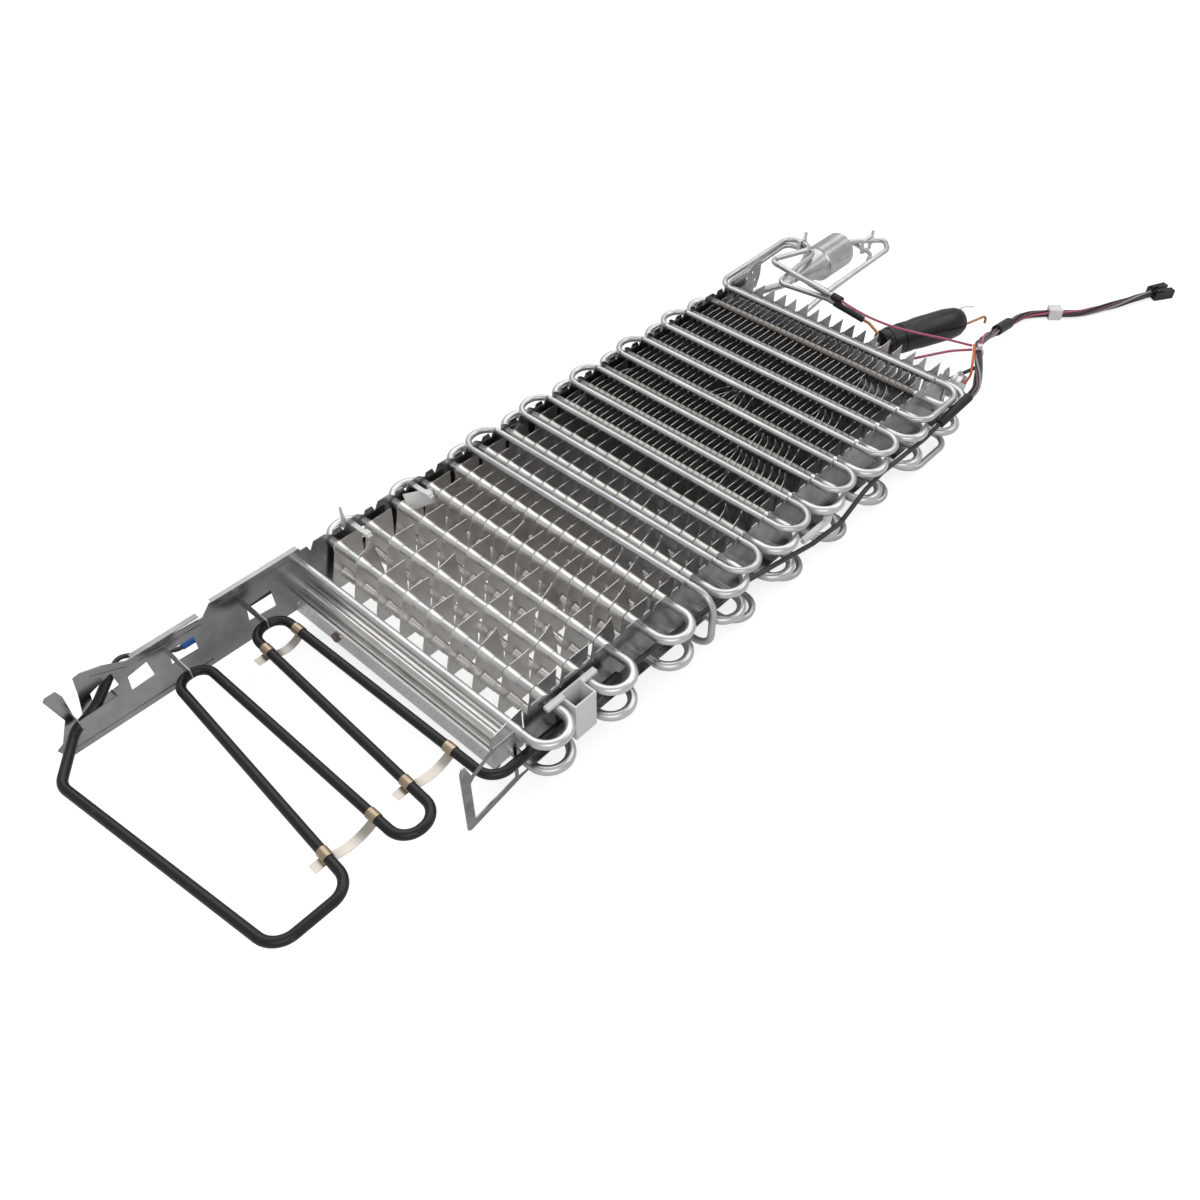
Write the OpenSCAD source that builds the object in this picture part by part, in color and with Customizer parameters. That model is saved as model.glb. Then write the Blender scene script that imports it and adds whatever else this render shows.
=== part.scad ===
// Two-layer refrigerator evaporator coil with finned rows, a pipe defrost heater laid over both faces,
// a looped sheath heater in its front bracket, an accumulator and its wiring. Millimetres, +Z up.
// It lies flat. The origin is the middle of its footprint, on the surface that it lies on.

/* [Coil tube] */
// Outer diameter of the refrigerant tube
tube_d = 8; // [7:0.1:9]
// Distance between neighbouring rows of tube
row_pitch = 34; // [33:0.5:36]
// Distance between the upper and the lower layer of tube
layer_gap = 30.7; // [29:0.1:33]
// Straight length of each run of tube
run_l = 266.8; // [262:0.1:280]
// Height of the upper layer over the surface that the coil lies on
upper_h = 57; // [56:0.5:62]

/* [Fins] */
// Thickness of a fin
fin_t = 0.25; // [0.2:0.05:0.4]
// Fin spacing in the densest rows
fin_step = 7.25; // [6.8:0.05:7.4]
// Distance of the first fin from the middle of the coil
fin_first = 128; // [124:0.5:128]
// Height of a fin's top edge over the upper tubes' axis
fin_above = 4.5; // [4.2:0.1:6]
// Depth of a fin's bottom edge under the lower tubes' axis
fin_below = 13.3; // [10:0.1:14]
// Reach of a fin's top back corner behind its row
fin_back = 24; // [20:0.5:26]
// Reach of a fin's bottom front corner in front of its row
fin_front = 12.5; // [10:0.5:13]
// Radial clearance of a fin's collar on the tube
fin_clear = 0.1; // [0.05:0.01:0.2]
// Wall of a fin's collar
collar_t = 0.25; // [0.2:0.05:0.4]

/* [Pipe heater] */
// Diameter of the pipe heater
pipe_d = 6; // [5:0.1:7]
// Gap between the pipe heater and the fins' edges
pipe_gap = 1.5; // [1:0.1:3]
// How far each pipe run lies in front of its row of tube
pipe_lead = 13.7; // [12.5:0.1:15]
// Straight length of each pipe run
pipe_run_l = 261.4; // [258:0.1:272]

/* [End plates] */
// Thickness of the plates' sheet
plate_t = 1; // [0.8:0.1:1.5]
// Distance of the left plate's inner face from the middle of the coil
left_in = 133; // [131:0.5:133.5]
// Distance of the right plate's inner face from the middle of the coil
right_in = 120; // [118:0.5:122]
// Height of the plates' teeth over the upper tubes' axis
tooth_h = 15; // [14:0.5:18]
// Depth of the plates' bottom edge under the lower tubes' axis
plate_below = 12.3; // [10:0.1:13]
// Width of the right plate's bottom flange
flange_w = 7.5; // [7:0.5:10]
// Radial clearance of the tubes in the plates
plate_clear = 0.15; // [0.1:0.05:0.4]

/* [Sheath heater] */
// Diameter of the sheath heater
sheath_d = 8; // [7:0.1:9]
// Depth of the sheath heater's plane under the upper tubes' axis
sheath_drop = 15; // [14:0.5:17]
// Reach of the sheath heater in front of the first row
front_reach = 248; // [244:1:256]

/* [Drip tray] */
// Thickness of the tray's sheet
tray_t = 0.8; // [0.6:0.1:1.2]
// Gap between the lower tube and the tray's floor
tray_gap = 0.5; // [0.3:0.1:1]
// Distance between the dimples of the front strip
dimple_step = 7; // [6:0.5:10]

/* [Accumulator] */
// Diameter of the accumulator's shell
acc_d = 40; // [36:1:42]
// Length of the shell's straight part
acc_l = 46; // [42:1:50]
// Diameter of the suction and outlet tubes
suction_d = 6; // [5.5:0.1:6.4]
// Diameter of the inlet tube
inlet_d = 5.5; // [5:0.1:5.7]
// Reach of the suction loop behind the last row
back_reach = 219; // [216:1:224]

/* [Hidden] */
$fn = 48;
rows = 18;
wide_rows = [2, 3, 4];
medium_rows = [5, 6, 7, 8, 9, 18];
first_pipe_row = 7;
pipe_count = 10;
tube_r = tube_d / 2;
pipe_r = pipe_d / 2;
sheath_r = sheath_d / 2;
suction_r = suction_d / 2;
inlet_r = inlet_d / 2;
acc_r = acc_d / 2;
run_half = run_l / 2;
pipe_half = pipe_run_l / 2;
bend_r = row_pitch / 2;
pipe_bend_r = row_pitch / 2;

// Heights
z_up = upper_h;
z_low = z_up - layer_gap;
fin_top = z_up + fin_above;
fin_bottom = z_low - fin_below;
pipe_up = fin_top + pipe_gap + pipe_r;
pipe_low = fin_bottom - pipe_gap - pipe_r;
sheath_z = z_up - sheath_drop;
plate_bottom = z_low - plate_below;

// Places along the coil: row k, and distances behind the first and the last row
total_l = front_reach + (rows - 1) * row_pitch + back_reach;
first_y = front_reach - total_l / 2;
last_y = first_y + (rows - 1) * row_pitch;
function row_y(k) = first_y + (k - 1) * row_pitch;
function pipe_y(j) = (j <= pipe_count ? row_y(first_pipe_row + j - 1) : last_y) - pipe_lead;
function is_in(v, list) = len(search(v, list)) > 0;
function fin_gap(k) = is_in(k, wide_rows) ? 4 * fin_step : is_in(k, medium_rows) ? 2 * fin_step : fin_step;
wide_gaps = floor((fin_first + right_in - 2 * fin_step) / (4 * fin_step));
function fin_count(k) = wide_gaps * 4 * fin_step / fin_gap(k) + 1;

// Tubes along a path

function unit(v) = v / norm(v);
function bend_of(bend, i) = is_list(bend) ? bend[i] : bend;
function turn(p, i) = acos(max(-1, min(1, unit(p[i] - p[i - 1]) * unit(p[i + 1] - p[i]))));
function setback(p, bend, i) = i == 0 || i == len(p) - 1 ? 0 : bend_of(bend, i) * tan(turn(p, i) / 2);

// A round bar from a to b
module rod(a, b, r) {
    v = b - a;
    translate(a) rotate([0, acos(v[2] / norm(v)), atan2(v[1], v[0])]) cylinder(h = norm(v), r = r);
}

// The bend at corner i of path p
module elbow(p, i, r, bend_radius) {
    u = unit(p[i] - p[i - 1]);
    w = unit(p[i + 1] - p[i]);
    inward = unit(w - (u * w) * u);
    start = p[i] - u * (bend_radius * tan(turn(p, i) / 2));
    c = start + inward * bend_radius;
    side = cross(-inward, u);
    multmatrix([
        [-inward[0], u[0], side[0], c[0]],
        [-inward[1], u[1], side[1], c[1]],
        [-inward[2], u[2], side[2], c[2]],
        [0, 0, 0, 1]])
        rotate_extrude(angle = turn(p, i)) translate([bend_radius, 0]) circle(r = r);
}

// A round tube along path p, with a bend of the given centreline radius at each corner.
// A short collar, hardly fatter than the tube, joins each bend to the straight before and after it.
joint_fat = 0.05;
joint_half = 0.3;
module bent_tube(p, r, bend) {
    last = len(p) - 1;
    for (i = [0 : last - 1]) {
        u = unit(p[i + 1] - p[i]);
        a = p[i] + u * setback(p, bend, i);
        b = p[i + 1] - u * setback(p, bend, i + 1);
        if (norm(b - a) > 0.01) rod(a, b, r);
        if (i > 0) rod(a - joint_half * u, a + joint_half * u, r + joint_fat);
        if (i < last - 1 && norm(b - a) > 0.01) rod(b - joint_half * u, b + joint_half * u, r + joint_fat);
    }
    for (i = [1 : 1 : last - 1]) elbow(p, i, r, bend_of(bend, i));
}

// A ring with a bore, centred on c, along the direction v
module ring(c, v, length, r_out, r_in) {
    difference() {
        rod(c - unit(v) * length / 2, c + unit(v) * length / 2, r_out);
        rod(c - unit(v) * length, c + unit(v) * length, r_in);
    }
}

// Half a turn of tube at x, from row y to the next, opening towards the coil
module u_bend(x, y, z, pitch, r, right) {
    translate([x, y + pitch / 2, z]) rotate([0, 0, right ? -90 : 90])
        rotate_extrude(angle = 180) translate([pitch / 2, 0]) circle(r = r);
}

// Coil tube: both layers and the bend that joins them at the front left

module tube_layer(z) {
    for (k = [1 : rows]) rod([-run_half, row_y(k), z], [run_half, row_y(k), z], tube_r);
    for (k = [1 : 2 : rows - 1]) u_bend(run_half, row_y(k), z, row_pitch, tube_r, true);
    for (k = [2 : 2 : rows - 2]) u_bend(-run_half, row_y(k), z, row_pitch, tube_r, false);
}

module coil_tube() {
    color("silver") union() {
        tube_layer(z_up);
        tube_layer(z_low);
        translate([-run_half, first_y, (z_up + z_low) / 2]) rotate([90, 0, 0]) rotate([0, 0, 90])
            rotate_extrude(angle = 180) translate([layer_gap / 2, 0]) circle(r = tube_r);
    }
}

// Fins: one sheet on both layers of a row, with a collar that spaces it from the next

fin_nose = tube_r + 0.6;
fin_slope = 3.5;

module fin_outline() {
    difference() {
        polygon([[-fin_nose, z_up], [-fin_nose + 1.2, z_up + fin_above - 1], [0, fin_top], [fin_back, fin_top],
            [fin_back - fin_slope, fin_bottom], [-fin_front, fin_bottom], [-fin_front, z_low]]);
        for (z = [z_up, z_low]) translate([0, z]) circle(r = tube_r + fin_clear);
    }
}

module fin(collar_l) {
    rotate([90, 0, 90]) linear_extrude(fin_t) fin_outline();
    for (z = [z_up, z_low]) translate([0, 0, z]) rotate([0, 90, 0]) difference() {
        cylinder(h = collar_l, r = tube_r + fin_clear + collar_t);
        translate([0, 0, -1]) cylinder(h = collar_l + 2, r = tube_r + fin_clear);
    }
}

module fin_row(k) {
    color("lightsteelblue") for (i = [0 : fin_count(k) - 1])
        translate([-fin_first + i * fin_gap(k), row_y(k), 0]) fin(fin_gap(k) / 2);
}

module fins_row_02() { fin_row(2); }
module fins_row_03() { fin_row(3); }
module fins_row_04() { fin_row(4); }
module fins_row_05() { fin_row(5); }
module fins_row_06() { fin_row(6); }
module fins_row_07() { fin_row(7); }
module fins_row_08() { fin_row(8); }
module fins_row_09() { fin_row(9); }
module fins_row_10() { fin_row(10); }
module fins_row_11() { fin_row(11); }
module fins_row_12() { fin_row(12); }
module fins_row_13() { fin_row(13); }
module fins_row_14() { fin_row(14); }
module fins_row_15() { fin_row(15); }
module fins_row_16() { fin_row(16); }
module fins_row_17() { fin_row(17); }
module fins_row_18() { fin_row(18); }

// End plates

tooth = [[1, tooth_h - 1], [8, tooth_h - 1], [10.5, tooth_h - 8], [15, tooth_h], [26, tooth_h],
    [33, tooth_h - 5]];
plate_slot_w = pipe_d + 2 * plate_clear;

// Teeth along the top edge between two rows, as points behind the first row
function tooth_line(k1, k2) = [for (k = [k1 : k2], q = tooth) [row_y(k) + q[0], z_up + q[1]]];

// The cuts for tubes and pipe heater that both plates have
module plate_cuts(k1) {
    for (k = [k1 : rows], z = [z_up, z_low]) translate([row_y(k), z]) circle(r = tube_r + plate_clear);
    for (j = [1 : pipe_count + 1]) {
        translate([pipe_y(j), pipe_up]) circle(d = plate_slot_w);
        translate([pipe_y(j) - plate_slot_w / 2, pipe_up]) square([plate_slot_w, tooth_h]);
        translate([pipe_y(j), pipe_low]) circle(d = plate_slot_w);
        translate([pipe_y(j) - plate_slot_w / 2, pipe_low - tooth_h]) square([plate_slot_w, tooth_h]);
    }
}

// The prongs that hold the lower pipe runs
module lower_prongs() {
    prong_w = plate_slot_w + 6;
    for (j = [1 : pipe_count + 1]) translate([pipe_y(j) - prong_w / 2, pipe_low - pipe_r - 2.5])
        square([prong_w, plate_bottom - pipe_low + pipe_r + 3]);
}

// Places on the bracket, as distance behind the first row and height over the upper tubes
function at(y, z) = [first_y + y, z_up + z];
bracket_bottom = plate_bottom - z_up;

module bracket_outline() {
    polygon([at(-223.8, bracket_bottom), at(-229, -30), at(-223.5, -27), at(-214.5, -7), at(-221.8, 20),
        at(-219.5, 22.6), at(-211.2, 22.8), at(-208.5, 15), at(-208, -16), at(-203, -17), at(-198.5, 9),
        at(-197, 24.9), at(-190.5, 25.9), at(-176, 21.3), at(-158.9, 12.2), at(-92.7, 8.2),
        at(-84, 17.5), at(1, 16.3), at(2, bracket_bottom)]);
}

module left_outline() {
    back = last_y + 35;
    polygon(concat([[row_y(1), plate_bottom], [row_y(1), z_up + tooth_h]], tooth_line(1, rows - 1),
        [[last_y + 1, z_up + 14], [last_y + 18, z_up + 13], [last_y + 28, z_up + 19], [back + 7, z_up + 19],
        [back + 7, z_up + 2], [back + 2, z_up - 11], [last_y + 20, z_up - 13], [last_y + 16, plate_bottom]]));
}

module left_windows() {
    polygon([at(-192, -8), at(-191, 3), at(-172, 10), at(-170, -6)]);
    polygon([at(-163, -18), at(-162, -3), at(-145, 0), at(-143, -17)]);
    polygon([at(-128, -18), at(-127, -3.5), at(-105, -3.5), at(-104.5, -19)]);
    polygon([at(-58, -23), at(-57, -8), at(-33, -6), at(-32, -25)]);
    translate(at(61, -6)) square([8, 12], center = true);
    translate(at(60, -30)) square([10, 8], center = true);
    for (q = [[28, 10], [18, 7], [33, -1], [38, 16]])
        translate([last_y + q[0], z_up + q[1]]) circle(r = 1.6);
}

// A raised rib on the left plate's inner face, from a to b
rib_h = 0.6;
module rib(a, b, w = 1.4) {
    length = norm(b - a);
    translate([-left_in, a[0], a[1]]) rotate([atan2(b[1] - a[1], b[0] - a[0]), 0, 0])
        translate([-0.1, 0, -w / 2]) cube([rib_h + 0.1, length, w]);
}

// A blade bent out of the left plate, resting on a bend of the sheath heater
blade_l = 30;
module blade(y) {
    translate([-left_in - 0.1, y - plate_t / 2, sheath_z + sheath_r + 0.3]) cube([blade_l, plate_t, 9]);
}

// The strap lanced from the left plate over the sheath heater's end
strap_gap = sheath_d + 3.8;
strap_w = 8;
strap_leg = 3.6; // width of each leg, the front one over the heater and the rear one under it
module strap() {
    translate([0, first_y - 209, z_up - 11]) rotate([4, 0, 0]) {
        translate([-left_in + strap_gap, 0, 0]) cube([plate_t, 33, strap_w]);
        for (q = [[0, strap_w - strap_leg], [32, 0]])
            translate([-left_in - 0.1, q[0], q[1]]) cube([strap_gap + 0.2, plate_t, strap_leg]);
    }
}

flange_l = 5;
module left_plate() {
    color("lightgray") union() {
        translate([-left_in - plate_t, 0, 0]) rotate([90, 0, 90]) linear_extrude(plate_t) difference() {
            union() {
                bracket_outline();
                left_outline();
                lower_prongs();
            }
            plate_cuts(1);
            left_windows();
        }
        translate([-left_in - flange_l, first_y - 82, z_up + 16]) cube([flange_l, 82, plate_t]);
        translate([-left_in - flange_l, first_y - 154, z_up + 10.8]) cube([flange_l, 58, plate_t]);
        rib(at(-216, -38), at(-96, -38));
        rib(at(-150, 5), at(-96, 2.5));
        rib(at(-82, 11), at(-12, 10.5));
        rib(at(-186, 17), at(-160, 6), 2.4);
        rib(at(-217, 17), at(-214, -4), 2);
        blade(first_y - 127);
        blade(first_y - 57);
        strap();
    }
}

// Right plate: teeth as on the left, an outward bottom flange, and a triangular foot folded down from it
right_start = 7;
foot_x = right_in + flange_w;

module right_outline() {
    polygon(concat([[first_y + right_start, plate_bottom], [first_y + right_start, z_up + tooth_h - 1]],
        [for (q = tooth) if (q[0] > right_start) [first_y + q[0], z_up + q[1]]], tooth_line(2, rows - 1),
        [[last_y + 1, z_up + 14], [last_y + 8, z_up + 14], [last_y + 12, z_up + 6], [last_y + 16, plate_bottom]]));
}

module foot_outline() {
    difference() {
        polygon([[first_y - 57, 0], [first_y - 60, 2], [first_y - 60, z_up + 12], [first_y - 58, z_up + 17],
            [first_y - 55, z_up + 17], [first_y - 50, z_up + 2], [first_y - 29, z_up + 12.5],
            [first_y - 8, z_up + 12.5], [first_y - 8, plate_bottom + plate_t], [first_y + 30, plate_bottom + plate_t],
            [first_y + 30, plate_bottom], [first_y - 2, plate_bottom - 1]]);
        polygon([[first_y - 52, z_up - 48], [first_y - 52, z_up - 5], [first_y - 48, z_up - 1],
            [first_y - 28, z_up + 9.5], [first_y - 11, z_up + 9.5], [first_y - 11, plate_bottom + 3]]);
    }
}

module right_plate() {
    flange_end = last_y + 16;
    color("gainsboro") union() {
        translate([right_in, 0, 0]) rotate([90, 0, 90]) linear_extrude(plate_t) difference() {
            union() {
                right_outline();
                lower_prongs();
            }
            plate_cuts(2);
        }
        translate([right_in, first_y + right_start, plate_bottom])
            cube([flange_w, flange_end - first_y - right_start, plate_t]);
        translate([foot_x - plate_t, 0, 0]) rotate([90, 0, 90]) linear_extrude(plate_t) foot_outline();
        translate([foot_x - plate_t - rib_h, first_y - 57, 10]) cube([rib_h + 0.1, 2, z_up - 14]);
    }
}

// Drip tray under the first row, with its right end wall and its front strip

tray_floor = z_low - tube_r - tray_gap;
tray_end = right_in - 8;
tray_front = 15;
lip_h = z_up - 24;

module drip_tray() {
    color("gainsboro") union() {
        translate([-left_in, 0, 0]) rotate([90, 0, 90]) linear_extrude(left_in + tray_end) polygon([
            [first_y - tray_front, lip_h], [first_y - tray_front + tray_t, lip_h],
            [first_y - 7, tray_floor], [first_y + 9, tray_floor], [first_y + 11, tray_floor + 2],
            [first_y + 19, tray_floor + 2], [first_y + 19, tray_floor + 2 - tray_t],
            [first_y + 11.4, tray_floor + 2 - tray_t], [first_y + 9.4, tray_floor - tray_t],
            [first_y - 7.4, tray_floor - tray_t]]);
        translate([tray_end, 0, 0]) rotate([90, 0, 90]) linear_extrude(tray_t) difference() {
            polygon([[first_y - 19, tray_floor - tray_t], [first_y - 21, z_up - 9], [first_y - 16, z_up + 0.5],
                [first_y + 12, z_up + 6.5], [first_y + 12, tray_floor - tray_t]]);
            for (z = [z_up, z_low]) translate([first_y, z]) circle(r = tube_r + plate_clear);
        }
    }
}

strip_top = lip_h - 0.5;
strip_low = z_up - 43;
dimple_r = 1.1;
grommet_r = 4;
grommet_at = [-left_in + 56, strip_low + 8];

module dimpled_strip() {
    strip_y = first_y - tray_front - tray_t;
    n = floor((left_in + tray_end - 14) / dimple_step);
    color("darkgray") union() {
        translate([-left_in, strip_y, strip_low]) cube([left_in + tray_end - 2, tray_t, strip_top - strip_low]);
        translate([-left_in, strip_y, strip_low]) cube([left_in + tray_end - 2, 6, tray_t]);
        for (i = [0 : n - 1], s = [0, 1]) {
            place = [-left_in + 7 + (i + s / 2) * dimple_step, strip_top - 5 - 5 * s];
            if (norm(place - grommet_at) > grommet_r + 2 * dimple_r)
                translate([place[0], strip_y, place[1]]) sphere(r = dimple_r, $fn = 16);
        }
    }
}

module strip_grommet() {
    color("saddlebrown") translate([grommet_at[0], first_y - tray_front - tray_t, grommet_at[1]])
        rotate([90, 0, 0]) cylinder(h = 2.5, r = grommet_r);
}

// Pipe heater: a serpentine over the fins, round the right side and back under them

pipe_out = pipe_half + pipe_bend_r;
pipe_end_z = pipe_up + 3;

module pipe_layer(z) {
    for (j = [1 : pipe_count]) rod([-pipe_half, pipe_y(j), z], [pipe_half, pipe_y(j), z], pipe_r);
    for (j = [1 : 2 : pipe_count - 1]) u_bend(-pipe_half, pipe_y(j), z, row_pitch, pipe_r, false);
    for (j = [2 : 2 : pipe_count - 2]) u_bend(pipe_half, pipe_y(j), z, row_pitch, pipe_r, true);
}

// The last run of a layer, from the wide bend on the right to the given end
module pipe_last(z, tail) {
    p = concat([[pipe_half, pipe_y(pipe_count), z], [pipe_out, pipe_y(pipe_count), z],
        [pipe_out, pipe_y(pipe_count + 1), z], [-pipe_out, pipe_y(pipe_count + 1), z]], tail);
    bends = concat([0, pipe_bend_r, pipe_bend_r, pipe_bend_r], [12, 9, 8]);
    bent_tube(p, pipe_r, bends);
}

upper_tail = [[-pipe_out, last_y + 114, pipe_end_z], [-113, last_y + 112, pipe_end_z],
    [-133, last_y + 58, pipe_end_z], [-39, last_y + 43, pipe_end_z]];
lower_tail = [[-pipe_out, last_y + 58, pipe_low + 4], [-95, last_y + 58, pipe_low + 4],
    [-80, last_y + 38, pipe_low + 4], [-20, last_y + 38, pipe_low + 4]];

module pipe_heater() {
    side = [[pipe_half, pipe_y(1), pipe_up], [pipe_out, pipe_y(1), pipe_up], [pipe_out, pipe_y(1), pipe_low],
        [pipe_half, pipe_y(1), pipe_low]];
    color("darkgray") union() {
        pipe_layer(pipe_up);
        pipe_layer(pipe_low);
        bent_tube(side, pipe_r, pipe_bend_r);
        pipe_last(pipe_up, upper_tail);
        pipe_last(pipe_low, lower_tail);
    }
}

// A point on the last straight of a path, back from its end by the distance s
function near_end(p, s) = p[len(p) - 1] - s * unit(p[len(p) - 1] - p[len(p) - 2]);
function end_dir(p) = unit(p[len(p) - 1] - p[len(p) - 2]);

module pipe_crimps() {
    color("gainsboro") for (p = [upper_tail, lower_tail]) {
        ring(near_end(p, 20), end_dir(p), 30, pipe_r + 0.7, pipe_r + 0.1);
        for (s = [6.5, 10, 13.5]) ring(near_end(p, s), end_dir(p), 1.6, pipe_r + 1.1, pipe_r + 0.6);
    }
}

boot_l = 12;
module pipe_boots() {
    color("black") for (p = [upper_tail, lower_tail]) {
        tip = p[len(p) - 1];
        rod(tip, tip + boot_l * end_dir(p), pipe_r + 1);
    }
}

// Sheath heater: four loops in the bracket, then along the right side between the layers

function in_plane(x, y) = [x, first_y + y, sheath_z];
sheath_x = foot_x + sheath_r + 0.6;
corner_loss = 0.85; // what the rounded front corner falls short of its corner point
sheath_front = -front_reach + sheath_r - corner_loss;
sheath_path = [
    [-left_in - 8, first_y - 168, z_up + 5], [-left_in + 7.5, first_y - 193, z_up - 4], in_plane(-127, -213),
    in_plane(-90, sheath_front), in_plane(124, sheath_front + 28), in_plane(124, -155), in_plane(-112, -138),
    in_plane(-112, -112), in_plane(124, -111), in_plane(124, -79), in_plane(-112, -69), in_plane(-112, -41),
    in_plane(sheath_x, -36), in_plane(sheath_x, 76)];
sheath_bends = [0, 12, 12, 16, 18, 17, 12.4, 12.6, 15.4, 16, 13.4, 13.6, 16, 0];

module sheath_heater() {
    color("black") bent_tube(sheath_path, sheath_r, sheath_bends);
}

module sheath_boot() {
    color("black") rod(in_plane(sheath_x, 76), in_plane(sheath_x, 96), sheath_r + 1);
}

// Where run n of the sheath heater crosses x
function on_run(n, x) = let (a = sheath_path[n], b = sheath_path[n + 1]) a + (b - a) * (x - a[0]) / (b[0] - a[0]);

band_pairs = [[5, 7, 92], [9, 11, 88], [9, 11, -88]];
band_l = 9;

module heater_bands() {
    color("peru") for (q = band_pairs, n = [q[0], q[1]])
        ring(on_run(n, q[2]), sheath_path[n + 1] - sheath_path[n], band_l, sheath_r + 0.6, sheath_r + 0.1);
}

// A thin strip under two runs of the sheath heater, bowed down between them
strip_t = 0.5;
strip_w = 8;
strip_sag = 6;
strip_steps = 8; // straight pieces in half of the bow
strip_tail = 12; // how far the strip's front end reaches past its run
strip_end = 4.5; // and its back end
module spring_strip(a, b) {
    span = norm(b - a);
    radius = (span * span / 4 + strip_sag * strip_sag) / (2 * strip_sag);
    half_angle = asin(span / 2 / radius);
    low = min(a[2], b[2]) - sheath_r - 0.6 - strip_t;
    bow = [for (k = [-strip_steps : strip_steps]) let (q = k * half_angle / strip_steps)
        [(a[1] + b[1]) / 2 + radius * sin(q), low - strip_sag + radius * (1 - cos(q))]];
    under = concat([[min(a[1], b[1]) - strip_tail, low]], bow, [[max(a[1], b[1]) + strip_end, low]]);
    over = [for (k = [len(under) - 1 : -1 : 0]) under[k] + [0, strip_t]];
    translate([a[0] - strip_w / 2, 0, 0]) rotate([90, 0, 90]) linear_extrude(strip_w)
        polygon(concat(under, over));
}

module spring_strips() {
    color("lightgray") for (q = band_pairs) spring_strip(on_run(q[0], q[2]), on_run(q[1], q[2]));
}

// Accumulator and the tubes round it

acc_x = -116;
acc_z = z_up - 15;
acc_y = last_y + 128;
neck_l = 38;
dome_l = 10;

module accumulator() {
    color("silver") translate([acc_x, acc_y, acc_z]) rotate([-90, 0, 0]) rotate_extrude() polygon([
        [0, -neck_l - 6], [tube_r + 1, -neck_l - 6], [tube_r + 1, -neck_l], [acc_r - 1.5, -1.5], [acc_r, 0],
        [acc_r, acc_l - 2], [acc_r - 2, acc_l + 1], [acc_r * 0.6, acc_l + dome_l - 2],
        [acc_r / 2, acc_l + dome_l], [0, acc_l + dome_l]]);
}

module outlet_tube() {
    acc_start = [acc_x, acc_y - neck_l - 6, acc_z];
    p = [[-run_half, last_y, z_low], [-run_half - bend_r, last_y, z_low], [-run_half - bend_r, last_y + 38, z_low],
        [acc_x, acc_y - neck_l - 22, acc_z], acc_start];
    color("silver") bent_tube(p, tube_r, [0, bend_r, 14, 14, 0]);
}

// The suction loop leaves the accumulator, turns back and runs behind the fins into the insulation sleeve
loop_over = 0.56; // how far the loop's tube passes the line that its corners are set out on
loop_y = last_y + back_reach - loop_over;
second_r = 2.4;
copper_r = 1.6;
stub_r = 1.4;
capillary_r = 0.6;
sleeve_r = 15;
sleeve_clear = 0.1; // radial clearance of each tube in the sleeve
sleeve_seat = 10; // how far each tube runs into the sleeve
sleeve_lead = 14; // straight length of each tube before the sleeve
sleeve_a = [26, last_y + 64, z_up - 25];
sleeve_b = [60, last_y + 152, z_up - 25];

// A point of the sleeve: along its axis from the given end, to its right and up
function sleeve_at(end, along, right, up) = let (v = unit(sleeve_b - sleeve_a))
    end + along * v + right * cross(v, [0, 0, 1]) + [0, 0, up];

// Where each tube lies in the sleeve, as right and up
suction_seat = [-3.2, -1.5];
second_seat = [3.2, -2];
copper_seat = [0, 4];
stub_seat = [6, -2.2];
capillary_seat = [-6, 5];

suction_path = [[acc_x, acc_y + acc_l + dome_l, acc_z], [acc_x, loop_y - 20, acc_z],
    [-84, loop_y, acc_z + 5], [-70, loop_y - 16, acc_z + 5], [-76, last_y + 102, acc_z - 4],
    [-80, last_y + 50, z_up - 32], [12, last_y + 40, z_up - 32],
    sleeve_at(sleeve_a, -sleeve_lead, suction_seat[0], suction_seat[1]),
    sleeve_at(sleeve_a, sleeve_seat, suction_seat[0], suction_seat[1])];
second_path = [[acc_x - 5, acc_y + acc_l + dome_l, acc_z - 4.5], [acc_x - 5, loop_y - 13, acc_z - 4.5],
    [-88, loop_y - 20, acc_z - 5.8], [-78, loop_y - 44, acc_z - 5], [-80, last_y + 102, acc_z - 11],
    [-84, last_y + 42, z_up - 36.5], [14, last_y + 33, z_up - 36],
    sleeve_at(sleeve_a, -sleeve_lead, second_seat[0], second_seat[1]),
    sleeve_at(sleeve_a, sleeve_seat, second_seat[0], second_seat[1])];

module suction_tube() {
    color("silver") bent_tube(suction_path, suction_r, [0, 10, 8, 14, 30, 12, 10, 10, 0]);
}

module second_tube() {
    color("silver") bent_tube(second_path, second_r, [0, 8, 10, 14, 30, 12, 10, 10, 0]);
}

joint_a = [-38, last_y + 47, z_up + 2.5];
joint_b = [-4, last_y + 53, z_up - 6.5];
joint_dir = unit(joint_b - joint_a);

module inlet_tube() {
    p = [[-run_half, last_y, z_up], [-pipe_out, last_y, z_up], [-147, last_y + 108, z_up + 6],
        [-112, last_y + 116, z_up + 6], [-104, last_y + 35, z_up + 6], joint_a - 9 * joint_dir, joint_a];
    color("silver") bent_tube(p, inlet_r, [0, 12, 11, 9, 8, 12, 0]);
}

module joint_sleeve() {
    color("black") rod(joint_a, joint_b, inlet_r + 0.6);
}

module copper_tube() {
    color("peru") bent_tube([joint_b, joint_b + 7 * joint_dir,
        sleeve_at(sleeve_a, -9, copper_seat[0], copper_seat[1]),
        sleeve_at(sleeve_a, sleeve_seat, copper_seat[0], copper_seat[1])], copper_r, [0, 8, 8, 0]);
}

// The bore of a tube in the sleeve, from the given end inwards
module sleeve_bore(end, inwards, seat, r) {
    rod(sleeve_at(end, -inwards, seat[0], seat[1]), sleeve_at(end, inwards * (sleeve_seat + 0.5), seat[0], seat[1]),
        r + sleeve_clear);
}

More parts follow.
